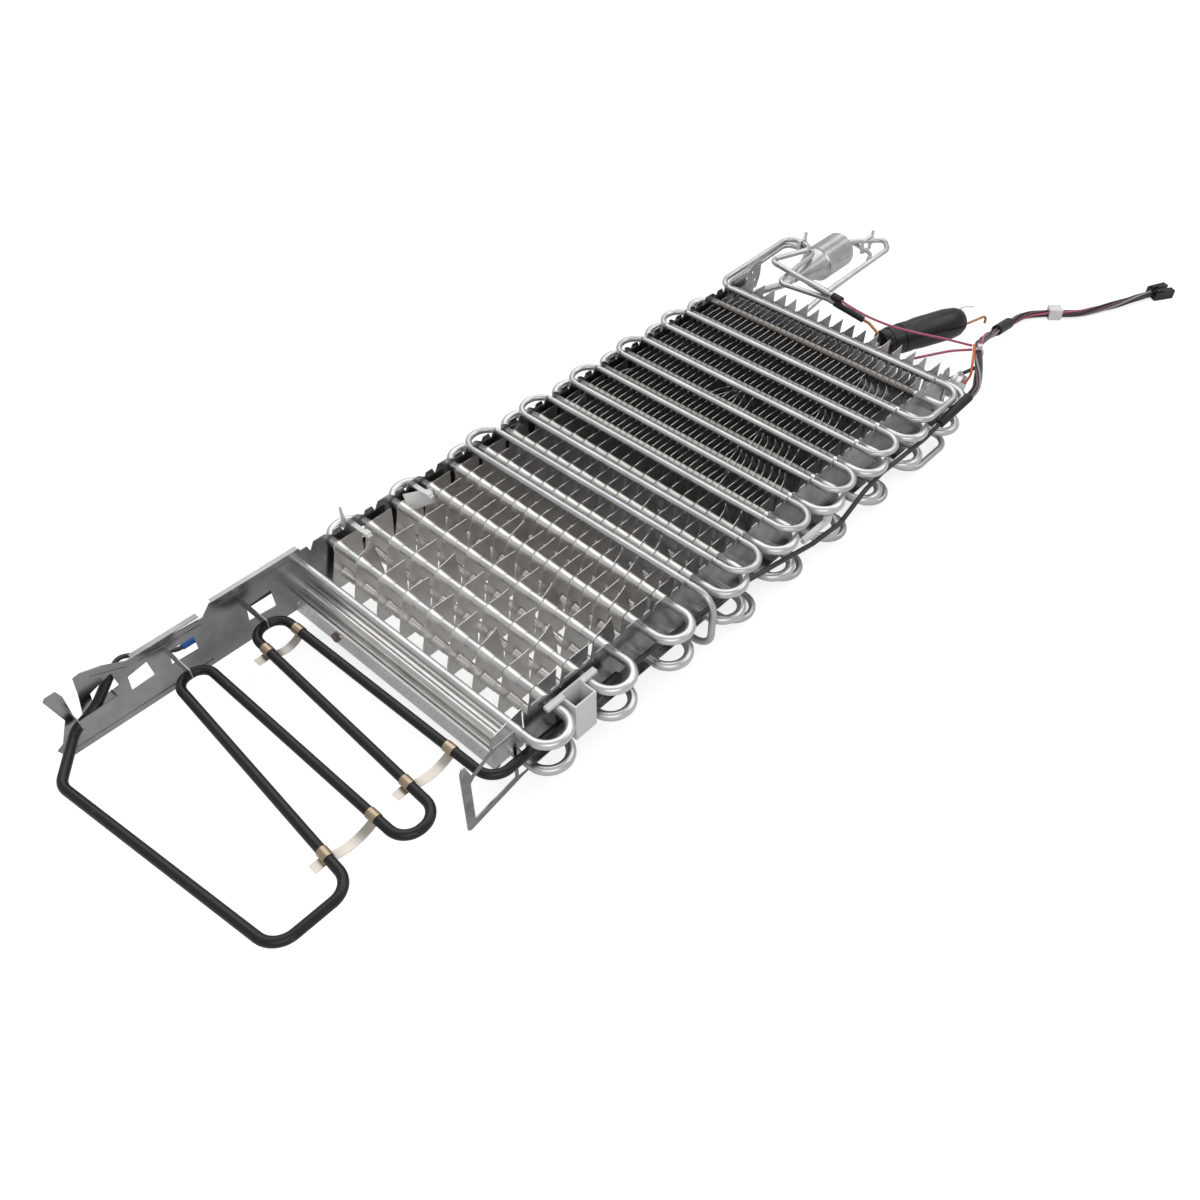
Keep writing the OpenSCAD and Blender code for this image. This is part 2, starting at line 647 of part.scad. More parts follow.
module insulation_sleeve() {
    v = sleeve_b - sleeve_a;
    color("black") difference() {
        translate(sleeve_a) rotate([0, 90, atan2(v[1], v[0])]) rotate_extrude() polygon([
            [0, 0], [7.5, 0], [sleeve_r - 4, 6], [sleeve_r - 1, 14], [sleeve_r, 30], [sleeve_r, norm(v) - 16],
            [sleeve_r - 2, norm(v) - 6], [sleeve_r - 6, norm(v)], [0, norm(v)]]);
        sleeve_bore(sleeve_a, 1, suction_seat, suction_r);
        sleeve_bore(sleeve_a, 1, second_seat, second_r);
        sleeve_bore(sleeve_a, 1, copper_seat, copper_r);
        sleeve_bore(sleeve_b, -1, stub_seat, stub_r);
    }
}

// The copper stub and the thin capillary at the sleeve's far end
module copper_stub() {
    tip = sleeve_b + [14, 30, -2.5];
    color("peru") bent_tube([sleeve_at(sleeve_b, -sleeve_seat, stub_seat[0], stub_seat[1]),
        sleeve_at(sleeve_b, 4, stub_seat[0], stub_seat[1]), tip, tip + [1, -3, -8]], stub_r, [0, 12, 4, 0]);
}

module capillary() {
    color("gray") bent_tube([sleeve_at(sleeve_b, 0.3, capillary_seat[0], capillary_seat[1]),
        sleeve_b + [-10, 15, capillary_seat[1]], sleeve_b + [0, 24, capillary_seat[1]]], capillary_r, [0, 6, 0]);
}

// Disc thermostat on a clip at the right plate's back edge
thermostat_r = 12;
module thermostat() {
    c = [right_in + plate_t, last_y + 26.5, z_up - 15];
    color("lightgray") union() {
        translate([c[0], last_y + 6, c[2] - 8]) cube([1, 30, 20]);
        translate(c + [1, 0, 0]) rotate([0, 90, 0]) cylinder(h = 2.5, r = thermostat_r + 1.5);
        translate(c + [1, 0, 0]) rotate([0, 90, 0]) cylinder(h = 8, r = thermostat_r);
    }
}

// Plastic pieces on the plates

clip_wall = 1.5;
module side_holder() {
    x0 = foot_x - 4;
    y0 = row_y(2) + 6;
    color("white") difference() {
        union() {
            translate([x0, row_y(2) - 10, z_up + tube_r + 0.3]) cube([5, row_pitch + 18, 3]);
            translate([x0, y0, z_up - 33]) cube([17, 22, 33 + tube_r + 1]);
        }
        translate([x0 + clip_wall, y0 + clip_wall, z_up - 33 + clip_wall])
            cube([17 - 2 * clip_wall, 22 - 2 * clip_wall, 60]);
        rod(in_plane(sheath_x, 20), in_plane(sheath_x, 90), sheath_r + 0.3);
    }
}

module rear_holder() {
    y0 = row_y(10) + 4;
    color("white") {
        translate([run_half + 13.5, y0, z_up - 12.5]) cube([4, 40, 5]);
        translate([run_half + 13.5, y0 + 32, z_up - 8]) cube([4, 8, 8 - tube_r - 0.3]);
    }
}

module left_pad() {
    color("whitesmoke") translate([-left_in, row_y(4) + 5.5, z_up - 13]) cube([1.5, 22, 16]);
}

// A strap with its head, lying against the left plate behind row k
module left_tie(k) {
    translate([-left_in, row_y(k) + 18, z_up + 8]) {
        cube([24, 4.5, 1.2]);
        translate([16, -0.5, -1]) cube([6, 5.5, 4]);
    }
}

module left_ties() {
    color("white") for (k = [2, 4]) left_tie(k);
}

// A strap round two tubes that lie one over the other, its head behind and its tail standing up
module tie_band(x, y, low, high, half_w) {
    translate([x, y, low]) {
        difference() {
            translate([-2, -half_w - 1, -1]) cube([4, 2 * half_w + 2, high - low + 2]);
            translate([-3, -half_w, 0]) cube([6, 2 * half_w, high - low]);
        }
        translate([-2.5, half_w + 1, (high - low) / 2 - 2.5]) cube([5, 4, 5]);
        translate([-1.8, half_w + 2.4, (high - low) / 2 + 2.5]) cube([3.6, 1.2, 11]);
    }
}

module tube_ties() {
    color("white") {
        tie_band(-130, last_y + 112.6, z_up + 2.4, pipe_end_z + pipe_r + 0.3, 4.2);
        tie_band(-100, loop_y - 12.75, acc_z - 8.5, acc_z + 6.5, 7.9);
    }
}

// Leads that the coil holds all the way

lead_r = 1.9;
left_lead_path = [sheath_path[0], sheath_path[0] + 10 * unit(sheath_path[0] - sheath_path[1]),
    [-left_in - 6, first_y - 118, sheath_z + 2], [-left_in - 6, last_y + 26, sheath_z - 2],
    [-left_in + 16, last_y + 31, sheath_z - 4], [110, last_y + 31, sheath_z - 4], [130, last_y + 49, sheath_z + 12]];

module left_lead() {
    color("black") bent_tube(left_lead_path, lead_r, [0, 12, 12, 14, 14, 14, 0]);
}

module lead_splice() {
    lead_run = left_lead_path[3] - left_lead_path[2];
    color("royalblue") ring(left_lead_path[2] + 10 * unit(lead_run), lead_run, 12, lead_r + 0.8, lead_r + 0.1);
}

cable_r = 2.2;
cable_path = [in_plane(sheath_x, 96), in_plane(sheath_x, 130), in_plane(138, 190) + [0, 0, 2],
    in_plane(143.5, 240) + [0, 0, 5.5], in_plane(148, 275) + [0, 0, 3], in_plane(151, 324) + [0, 0, -6],
    in_plane(152, 365) + [0, 0, -8.5], in_plane(150, 403) + [0, 0, 4], in_plane(148, 433) + [0, 0, 5],
    in_plane(150, 501) + [0, 0, 5], in_plane(152, 523) + [0, 0, 12]];

module side_cable() {
    color("dimgray") bent_tube(cable_path, cable_r, 20);
}

// Free wiring: hand-chosen points of each cord

harness_points = [[157, 288, 66], [158, 294, 68], [152, 312, 67], [142, 334, 62], [127, 362, 58], [113, 388, 54], [104, 416, 44],
    [96, 450, 30], [90, 484, 17], [87, 520, 8], [90, 553, 5], [104, 572, 5], [118, 584, 5], [132, 598, 5],
    [144, 620, 5], [156, 646, 5], [166, 672, 5], [175, 694, 5]];
pink_points = [[-27, 344.5, 69], [-10, 342, 68], [10, 345, 64], [34, 354, 59], [58, 366, 56], [82, 378, 54],
    [107, 387, 53]];
pink_rear_points = [[-8, 341.5, 12.5], [12, 341.5, 13], [34, 342, 20], [56, 344, 33], [76, 352, 44], [94, 368, 50],
    [110, 382, 52]];
orange_points = [[111, 382, 58], [118, 368, 60], [126, 352, 58], [132, 340, 53], [131.5, 332, 46]];
harness_r = 3.8;
wire_r = 1.3;

// Points between the chosen ones, on a smooth curve through them
function through(a, b, c, d, t) = 0.5 * (2 * b + (c - a) * t + (2 * a - 5 * b + 4 * c - d) * t * t
    + (3 * b - a - 3 * c + d) * t * t * t);
function ends_of(p) = concat([2 * p[0] - p[1]], p, [2 * p[len(p) - 1] - p[len(p) - 2]]);
function smooth(p, n) = let (q = ends_of(p)) concat(
    [for (i = [1 : len(q) - 3], k = [0 : n - 1]) through(q[i - 1], q[i], q[i + 1], q[i + 2], k / n)], [p[len(p) - 1]]);

function ring_at(p, i, r, sides) = let (
    t = unit(p[min(i + 1, len(p) - 1)] - p[max(i - 1, 0)]),
    side = unit(cross(t, [0, 0, 1])),
    up = cross(side, t)) [for (k = [0 : sides - 1]) p[i] + r * (cos(360 * k / sides) * side + sin(360 * k / sides) * up)];

// A closed tube swept along points p
module cord_tube(p, r, sides) {
    n = len(p);
    polyhedron(points = [for (i = [0 : n - 1], q = ring_at(p, i, r, sides)) q], faces = concat(
        [[for (k = [0 : sides - 1]) k]],
        [for (i = [0 : n - 2], k = [0 : sides - 1]) [i * sides + k, (i + 1) * sides + k,
            (i + 1) * sides + (k + 1) % sides, i * sides + (k + 1) % sides]],
        [[for (k = [sides - 1 : -1 : 0]) (n - 1) * sides + k]]));
}

module harness() { color("dimgray") cord_tube(smooth(harness_points, 1), harness_r, 10); }
module pink_lead() { color("hotpink") cord_tube(smooth(pink_points, 2), wire_r, 8); }
module pink_lead_rear() { color("hotpink") cord_tube(smooth(pink_rear_points, 2), wire_r, 8); }
module orange_lead() { color("orangered") cord_tube(smooth(orange_points, 2), wire_r, 8); }

module harness_tape() {
    color("black") rod(cable_path[len(cable_path) - 1], harness_points[0], harness_r + 0.7);
}

// A strap round the harness near point i, with its head on top
module cord_tie(i) {
    c = harness_points[i];
    v = harness_points[i + 1] - c;
    ring(c + v / 2, v, 4, harness_r + 1.4, harness_r + 0.3);
    translate(c + v / 2 + [0, 0, harness_r + 3.3]) rotate([0, 0, atan2(v[1], v[0])]) cube([5, 5, 4], center = true);
}

module harness_tie() { color("white") cord_tie(4); }

module harness_cap() {
    color("black") difference() {
        rod(harness_points[8] + [0, 0, 1], harness_points[9] + [0, 0, 1.2], harness_r + 2.2);
        rod(2 * harness_points[8] - harness_points[9], 2 * harness_points[9] - harness_points[8], harness_r + 0.3);
    }
}

module harness_plug() {
    v = harness_points[12] - harness_points[11];
    color("white") translate(harness_points[11] + v / 4 + [0, 0, 0.6]) rotate([0, 0, atan2(v[1], v[0])])
        difference() {
            translate([0, -6.5, -5]) cube([14, 13, 12]);
            rotate([0, 90, 0]) translate([0.6, 0, -1]) cylinder(h = 16, r = harness_r + 0.5);
        }
}

module end_connectors() {
    p = harness_points[len(harness_points) - 1];
    color("black") for (q = [[0, 4.2, 66], [2, -4.2, 58]])
        translate(p + [q[0] * 0.4, 0, 0]) rotate([0, 0, q[2]]) translate([0.5, q[1] - 4, -4.6]) {
            cube([24, 7.6, 10]);
            translate([2, 1.2, 10]) cube([9, 5, 1.4]);
        }
}

coil_tube();
fins_row_02();
fins_row_03();
fins_row_04();
fins_row_05();
fins_row_06();
fins_row_07();
fins_row_08();
fins_row_09();
fins_row_10();
fins_row_11();
fins_row_12();
fins_row_13();
fins_row_14();
fins_row_15();
fins_row_16();
fins_row_17();
fins_row_18();
left_plate();
right_plate();
drip_tray();
dimpled_strip();
strip_grommet();
pipe_heater();
pipe_crimps();
pipe_boots();
sheath_heater();
sheath_boot();
heater_bands();
spring_strips();
accumulator();
suction_tube();
outlet_tube();
inlet_tube();
joint_sleeve();
copper_tube();
insulation_sleeve();
copper_stub();
capillary();
second_tube();
thermostat();
side_holder();
rear_holder();
left_pad();
tube_ties();
left_ties();
left_lead();
lead_splice();
side_cable();
harness_tape();
harness();
harness_tie();
harness_cap();
harness_plug();
pink_lead();
pink_lead_rear();
orange_lead();
end_connectors();
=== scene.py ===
"""Looks of the refrigerator evaporator coil: finishes, fins, wiring, trim, studio and camera.

Lengths are in metres unless a name or its description says millimetres.
"""
import logging
import math
import random
from collections.abc import Sequence
from dataclasses import dataclass, field
from enum import Enum

import bmesh
import bpy
from mathutils import Matrix, Vector, noise


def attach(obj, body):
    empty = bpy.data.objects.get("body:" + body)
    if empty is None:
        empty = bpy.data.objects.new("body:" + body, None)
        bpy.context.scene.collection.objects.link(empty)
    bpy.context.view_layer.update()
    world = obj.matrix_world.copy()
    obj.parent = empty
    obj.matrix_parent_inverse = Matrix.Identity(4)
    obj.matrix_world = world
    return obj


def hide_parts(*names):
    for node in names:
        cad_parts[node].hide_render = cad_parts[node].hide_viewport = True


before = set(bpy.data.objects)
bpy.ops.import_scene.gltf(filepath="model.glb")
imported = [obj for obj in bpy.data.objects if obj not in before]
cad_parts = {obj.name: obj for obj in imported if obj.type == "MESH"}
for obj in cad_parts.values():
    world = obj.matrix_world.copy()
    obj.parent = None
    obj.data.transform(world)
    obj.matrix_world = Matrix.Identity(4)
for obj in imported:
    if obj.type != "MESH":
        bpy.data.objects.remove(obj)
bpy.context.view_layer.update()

MM = 0.001
FOLD_SLANT = math.sqrt(0.5)  # a fin's corner folds along a line at 45 degrees
LINE_DEPTH = 0.00002  # relief of the fine lines in metal
MOULD_DEPTH = 0.00008  # relief of moulded and wrapped surfaces
CURVE_STEPS = 24  # points from one given point of a curve to the next
ROUTE_SAMPLES = 200  # points at which a wire's length is measured
FIN_ROWS = range(2, 19)  # the rows with fins; row 1 lies in the tray
log = logging.getLogger("coil")

Colour = tuple[float, float, float]
Place = tuple[float, float, float]
Tree = bpy.types.NodeTree
Socket = bpy.types.NodeSocket


# Finishes


class Grain(Enum):
    """Ways in which a metal's fine lines run, as the noise's scale along X, Y and Z."""

    ALONG_X = (6.0, 260.0, 260.0)
    ALONG_Y = (300.0, 8.0, 300.0)
    ALONG_Z = (700.0, 700.0, 25.0)
    NONE = (160.0, 160.0, 160.0)


def new_group(name: str, inputs: list[tuple[str, str]], outputs: list[tuple[str, str]]) -> Tree:
    """Makes an empty shader node group.

    Args:
        name: The group's name.
        inputs: Name and socket type of each input.
        outputs: Name and socket type of each output.

    Returns:
        The group, with its Group Input and Group Output nodes named "in" and "out".
    """
    tree = bpy.data.node_groups.new(name, "ShaderNodeTree")
    for way, sockets in (("INPUT", inputs), ("OUTPUT", outputs)):
        for label, kind in sockets:
            tree.interface.new_socket(label, in_out=way, socket_type=kind)
    tree.nodes.new("NodeGroupInput").name = "in"
    tree.nodes.new("NodeGroupOutput").name = "out"
    return tree


def grain_group() -> Tree:
    """Fine lines on Object coordinates, stretched by the Stretch input; gives a mask from 0 to 1.

    Returns:
        The shader node group.
    """
    tree = new_group("FineLines", [("Stretch", "NodeSocketVector")], [("Mask", "NodeSocketFloat")])
    n, link = tree.nodes, tree.links.new
    coord = n.new("ShaderNodeTexCoord")
    mapping = n.new("ShaderNodeMapping")
    tex = n.new("ShaderNodeTexNoise")
    tex.inputs["Scale"].default_value = 1.0
    tex.inputs["Detail"].default_value = 4.0
    link(coord.outputs["Object"], mapping.inputs["Vector"])
    link(n["in"].outputs["Stretch"], mapping.inputs["Scale"])
    link(mapping.outputs["Vector"], tex.inputs["Vector"])
    link(tex.outputs["Fac"], n["out"].inputs["Mask"])
    return tree


def noise_group(name: str, detail: float, roughness: float, low: float, high: float) -> Tree:
    """Noise on Object coordinates at the Scale input, cut to a mask from 0 to 1.

    Args:
        name: The group's name.
        detail: The noise's detail.
        roughness: The noise's roughness.
        low: The noise's value where the mask is 0.
        high: The noise's value where the mask is 1.

    Returns:
        The shader node group.
    """
    tree = new_group(name, [("Scale", "NodeSocketFloat")], [("Mask", "NodeSocketFloat")])
    n, link = tree.nodes, tree.links.new
    coord = n.new("ShaderNodeTexCoord")
    tex = n.new("ShaderNodeTexNoise")
    tex.inputs["Detail"].default_value = detail
    tex.inputs["Roughness"].default_value = roughness
    cut = n.new("ShaderNodeMapRange")
    cut.inputs["From Min"].default_value = low
    cut.inputs["From Max"].default_value = high
    link(coord.outputs["Object"], tex.inputs["Vector"])
    link(n["in"].outputs["Scale"], tex.inputs["Scale"])
    link(tex.outputs["Fac"], cut.inputs["Value"])
    link(cut.outputs["Result"], n["out"].inputs["Mask"])
    return tree


def shade_fade_group() -> Tree:
    """Slow change along the coil's length on Object coordinates, which carries the fins' painted shade; gives
    a mask from 0 at From to 1 at To.

    Returns:
        The shader node group.
    """
    tree = new_group("PaintedShadeAlongCoil", [("From", "NodeSocketFloat"), ("To", "NodeSocketFloat")],
                     [("Mask", "NodeSocketFloat")])
    n, link = tree.nodes, tree.links.new
    coord = n.new("ShaderNodeTexCoord")
    axes = n.new("ShaderNodeSeparateXYZ")
    spread = n.new("ShaderNodeMapRange")
    link(coord.outputs["Object"], axes.inputs["Vector"])
    link(axes.outputs["Y"], spread.inputs["Value"])
    link(n["in"].outputs["From"], spread.inputs["From Min"])
    link(n["in"].outputs["To"], spread.inputs["From Max"])
    link(spread.outputs["Result"], n["out"].inputs["Mask"])
    return tree


class Effects:
    """The node groups that the finishes share: fine lines, clouding, specks and a change along the coil that
    carries the fins' painted shade.
    """

    def __init__(self) -> None:
        """Makes the groups."""
        self.lines = grain_group()
        self.clouding = noise_group("Clouding", detail=6.0, roughness=0.6, low=0.32, high=0.68)
        self.specks = noise_group("Specks", detail=3.0, roughness=0.5, low=0.66, high=0.74)
        self.fade = shade_fade_group()


def blend_colours(tree: Tree, mask: Socket, low: Colour | Socket, high: Colour | Socket) -> Socket:
    """Mixes two colours by a mask.

    Args:
        tree: The material's node tree.
        mask: The socket that gives 0 for low and 1 for high.
        low: The colour at 0, or its socket.
        high: The colour at 1, or its socket.

    Returns:
        The mixed colour's socket.
    """
    mix = tree.nodes.new("ShaderNodeMix")
    mix.data_type = "RGBA"
    for end, colour in (("A", low), ("B", high)):
        if isinstance(colour, tuple):
            mix.inputs[end].default_value = (*colour, 1.0)
        else:
            tree.links.new(colour, mix.inputs[end])
    tree.links.new(mask, mix.inputs["Factor"])
    return mix.outputs["Result"]


def scaled(tree: Tree, mask: Socket, low: float, high: float) -> Socket:
    """Maps a mask onto a range of values.

    Args:
        tree: The material's node tree.
        mask: The socket that gives 0 to 1.
        low: The value at 0.
        high: The value at 1.

    Returns:
        The value's socket.
    """
    node = tree.nodes.new("ShaderNodeMapRange")
    node.inputs["To Min"].default_value = low
    node.inputs["To Max"].default_value = high
    tree.links.new(mask, node.inputs["Value"])
    return node.outputs["Result"]


def use(tree: Tree, group: Tree, **values: object) -> Socket:
    """Puts a shared group into a material and returns its mask.

    Args:
        tree: The material's node tree.
        group: The shared group.
        **values: The group's input values by name.

    Returns:
        The group's Mask socket.
    """
    node = tree.nodes.new("ShaderNodeGroup")
    node.node_tree = group
    for key, value in values.items():
        node.inputs[key].default_value = value
    return node.outputs["Mask"]


def new_material(name: str) -> tuple[bpy.types.Material, Tree, bpy.types.Node]:
    """Makes a material with a Principled shader.

    Args:
        name: The material's name.

    Returns:
        The material, its node tree and the shader.
    """
    material = bpy.data.materials.new(name)
    material.use_nodes = True
    return material, material.node_tree, material.node_tree.nodes["Principled BSDF"]


def surface(tree: Tree, colour: Socket, mask: Socket, roughness: tuple[float, float], bump: float,
            depth: float) -> None:
    """Joins a material's colour, roughness and bump to its shader.

    Args:
        tree: The material's node tree.
        colour: The colour's socket.
        mask: The socket of the mask that roughness and bump follow.
        roughness: Roughness where the mask is 0 and where it is 1.
        bump: Strength of the bump.
        depth: Height of the bump.
    """
    shader = tree.nodes["Principled BSDF"]
    tree.links.new(colour, shader.inputs["Base Color"])
    tree.links.new(scaled(tree, mask, *roughness), shader.inputs["Roughness"])
    relief = tree.nodes.new("ShaderNodeBump")
    relief.inputs["Strength"].default_value = bump
    relief.inputs["Distance"].default_value = depth
    tree.links.new(mask, relief.inputs["Height"])
    tree.links.new(relief.outputs["Normal"], shader.inputs["Normal"])


@dataclass(frozen=True)
class MetalFinish:
    """A bare metal with fine lines, clouding and a soft gloss.

    Attributes:
        name: The material's name.
        colour: Base colour.
        dull: Colour where the clouding is darkest.
        roughness: Lowest and highest roughness.
        grain: The way that the fine lines run.
        bump: Strength of the fine lines' bump.
        clouds: Scale of the clouding.
    """

    name: str
    colour: Colour
    dull: Colour
    roughness: tuple[float, float] = (0.2, 0.32)
    grain: Grain = Grain.ALONG_X
    bump: float = 0.08
    clouds: float = 35.0

    def build(self, effects: Effects) -> bpy.types.Material:
        """Makes the material.

        Args:
            effects: The shared node groups.

        Returns:
            The material.
        """
        material, tree, shader = new_material(self.name)
        shader.inputs["Metallic"].default_value = 1.0
        cloud = use(tree, effects.clouding, Scale=self.clouds)
        lines = use(tree, effects.lines, Stretch=self.grain.value)
        surface(tree, blend_colours(tree, cloud, self.dull, self.colour), lines, self.roughness, self.bump,
                LINE_DEPTH)
        return material


@dataclass(frozen=True)
class FinFinish:
    """Thin fin sheet: warm and pale at the open front rows, darkened by painted shade between the dense rows,
    with a painted highlight on its cut edges.

    Attributes:
        name: The material's name.
        front: Colour at the open rows.
        rear: Colour at the dense rows, darkened by painted shade where the close fins shade each other.
        rim_highlight: Painted highlight colour of the sheet's cut edges, where the piece's own attribute of
            that name is 1.
        collar: Colours of the collars at the open rows and at the dense rows, the latter darkened by painted
            shade, where the attribute collar is 1.
        fade: Where along Y the painted shade from front to rear starts and ends.
        clouded: Brightness of front and of rear where the clouding is darkest.
        clouds: Scale of the clouding.
        roughness: Lowest and highest roughness.
        bump: Strength of the fine lines' bump.
    """

    name: str
    front: Colour
    # painted shade: the dense rows' sheet colour is darkened to stand in for the shade between close fins
    rear: Colour
    # painted highlight: a pale colour on the sheet's cut edges
    rim_highlight: Colour
    # painted shade: the second collar colour darkens the collars between the dense rows
    collar: tuple[Colour, Colour] = ((0.84, 0.83, 0.80), (0.26, 0.245, 0.23))
    fade: tuple[float, float] = (-0.1, 0.1)
    clouded: tuple[float, float] = (0.88, 0.78)
    clouds: float = 60.0
    roughness: tuple[float, float] = (0.3, 0.42)
    bump: float = 0.1

    def build(self, effects: Effects) -> bpy.types.Material:
        """Makes the material.

        Args:
            effects: The shared node groups.

        Returns:
            The material.
        """
        material, tree, shader = new_material(self.name)
        shader.inputs["Metallic"].default_value = 1.0
        # painted shade: the sheet darkens along Y from the open front rows to the dense rows
        along = use(tree, effects.fade, From=self.fade[0], To=self.fade[1])
        cloud = use(tree, effects.clouding, Scale=self.clouds)
        front, rear = (blend_colours(tree, cloud, tuple(share * c for c in colour), colour)
                       for share, colour in zip(self.clouded, (self.front, self.rear)))
        rim_highlight, collar = (tree.nodes.new("ShaderNodeAttribute") for _ in range(2))
        rim_highlight.attribute_name, collar.attribute_name = "rim_highlight", "collar"
        sheet = blend_colours(tree, along, front, rear)
        # painted shade: the collars darken along Y towards the dense rows
        sheet = blend_colours(tree, collar.outputs["Fac"], sheet, blend_colours(tree, along, *self.collar))
        # painted highlight: the cut edges take a paler colour than the sheet
        sheet = blend_colours(tree, rim_highlight.outputs["Fac"], sheet, self.rim_highlight)
        lines = use(tree, effects.lines, Stretch=Grain.ALONG_Z.value)
        surface(tree, sheet, lines, self.roughness, self.bump, LINE_DEPTH)
        return material


@dataclass(frozen=True)
class PlasticFinish:
    """Moulded plastic, rubber, tape or wire insulation.

    Attributes:
        name: The material's name.
        colour: Base colour.
        worn: Colour of the specks and scuffs.
        roughness: Lowest and highest roughness.
        specks: Scale of the specks.
        bump: Strength of the surface's bump.
        clouds: Scale of the clouding, as a share of the specks' scale.
    """

    name: str
    colour: Colour
    worn: Colour
    roughness: tuple[float, float] = (0.4, 0.55)
    specks: float = 500.0
    bump: float = 0.1
    clouds: float = 0.3

    def build(self, effects: Effects) -> bpy.types.Material:
        """Makes the material.

        Args:
            effects: The shared node groups.

        Returns:
            The material.
        """
        material, tree, _ = new_material(self.name)
        speck = use(tree, effects.specks, Scale=self.specks)
        cloud = use(tree, effects.clouding, Scale=self.specks * self.clouds)
        surface(tree, blend_colours(tree, speck, self.colour, self.worn), cloud, self.roughness, self.bump,
                MOULD_DEPTH)
        return material


class Palette:
    """Every finish of the coil, built once and found by its slot's name."""

    METALS = (
        MetalFinish("tube_aluminium", (0.80, 0.80, 0.79), (0.62, 0.62, 0.62), (0.24, 0.38)),
        MetalFinish("plate_aluminium", (0.52, 0.52, 0.53), (0.26, 0.26, 0.27), (0.2, 0.3),
                    Grain.ALONG_Y, 0.03, 14.0),
        # painted shade: the right plate's aluminium, made darker than the left plate's
        MetalFinish("plate_painted_shade", (0.42, 0.42, 0.43), (0.22, 0.22, 0.23), (0.18, 0.3),
                    Grain.ALONG_Y, 0.03, 40.0),
        MetalFinish("tray_aluminium", (0.80, 0.79, 0.77), (0.68, 0.67, 0.65), (0.28, 0.32),
                    Grain.ALONG_X, 0.005),
        MetalFinish("pipe_aluminium", (0.70, 0.71, 0.72), (0.52, 0.53, 0.54), (0.24, 0.4), Grain.NONE, 0.1),
        MetalFinish("spun_aluminium", (0.70, 0.71, 0.72), (0.46, 0.47, 0.48), (0.2, 0.34),
                    Grain.ALONG_Y, 0.1),
        MetalFinish("band_brass", (0.62, 0.50, 0.36), (0.42, 0.32, 0.22), (0.25, 0.4), Grain.NONE, 0.1),
        MetalFinish("strip_steel", (0.64, 0.60, 0.54), (0.48, 0.45, 0.40), (0.26, 0.36), Grain.ALONG_Y, 0.03),
        MetalFinish("copper", (0.72, 0.38, 0.20), (0.45, 0.2, 0.1), (0.25, 0.4), Grain.NONE, 0.1),
    )
    FINS = (
        # painted shade: the dense rows' grey; painted highlight: the pale cut-edge colour
        FinFinish("fin_aluminium", (0.86, 0.84, 0.81), (0.50, 0.50, 0.51), (0.94, 0.93, 0.92)),
    )
    PLASTICS = (
        PlasticFinish("sheath_black", (0.006, 0.006, 0.007), (0.03, 0.03, 0.03), (0.28, 0.34), 160.0, 0.01),
        PlasticFinish("black_rubber", (0.015, 0.015, 0.016), (0.06, 0.06, 0.06), (0.4, 0.6), 700.0, 0.2),
        PlasticFinish("sleeve_black", (0.006, 0.006, 0.007), (0.025, 0.025, 0.025), (0.26, 0.36), 300.0, 0.2),
        PlasticFinish("white_plastic", (0.82, 0.82, 0.80), (0.66, 0.66, 0.64), (0.35, 0.5), 500.0, 0.05),
        PlasticFinish("brown_plastic", (0.16, 0.12, 0.1), (0.3, 0.24, 0.2), (0.35, 0.5), 500.0, 0.1),
        PlasticFinish("blue_plastic", (0.01, 0.12, 0.42), (0.1, 0.25, 0.55), (0.25, 0.4), 500.0, 0.1),
        PlasticFinish("wire_black", (0.04, 0.042, 0.046), (0.12, 0.12, 0.13), (0.3, 0.42), 600.0, 0.1),
        PlasticFinish("wire_grey", (0.32, 0.32, 0.34), (0.5, 0.5, 0.52), (0.28, 0.4), 600.0, 0.1),
        PlasticFinish("wire_brown", (0.14, 0.07, 0.065), (0.3, 0.2, 0.18), (0.28, 0.4), 600.0, 0.1),
        PlasticFinish("tape_black", (0.012, 0.012, 0.012), (0.05, 0.05, 0.05), (0.35, 0.5), 400.0, 0.4),
        PlasticFinish("wire_pink", (0.52, 0.12, 0.2), (0.66, 0.34, 0.4), (0.28, 0.4), 600.0, 0.1),
        PlasticFinish("wire_orange", (0.75, 0.16, 0.035), (0.8, 0.32, 0.14), (0.28, 0.4), 600.0, 0.1),
        PlasticFinish("connector_black", (0.012, 0.012, 0.013), (0.06, 0.06, 0.06), (0.25, 0.4), 500.0, 0.1),
    )

    def __init__(self) -> None:
        """Builds every finish."""
        effects = Effects()
        self.materials = {f.name: f.build(effects) for f in (*self.METALS, *self.FINS, *self.PLASTICS)}

    def dress(self, obj: bpy.types.Object, name: str) -> None:
        """Gives an object one finish in all its slots.

        Args:
            obj: The object.
            name: The finish's name.
        """
        material = self.materials[name]
        if not obj.data.materials:
            obj.data.materials.append(material)
        for slot in obj.material_slots:
            slot.material = material


# Shared modelling


def add_mesh(name: str, bm: bmesh.types.BMesh, crease: float = 40.0) -> bpy.types.Object:
    """Turns a bmesh into a smooth-shaded object at the origin that rides on the coil.

    Args:
        name: The object's name.
        bm: The bmesh, which is freed.
        crease: Angle in degrees above which an edge stays crisp.

    Returns:
        The object.
    """
    mesh = bpy.data.meshes.new(name)
    for face in bm.faces:
        face.smooth = True
    bm.to_mesh(mesh)
    bm.free()
    mesh.set_sharp_from_angle(angle=math.radians(crease))
    obj = bpy.data.objects.new(name, mesh)
    bpy.context.scene.collection.objects.link(obj)
    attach(obj, "root")
    log.info("%s: %d faces", name, len(mesh.polygons))
    return obj


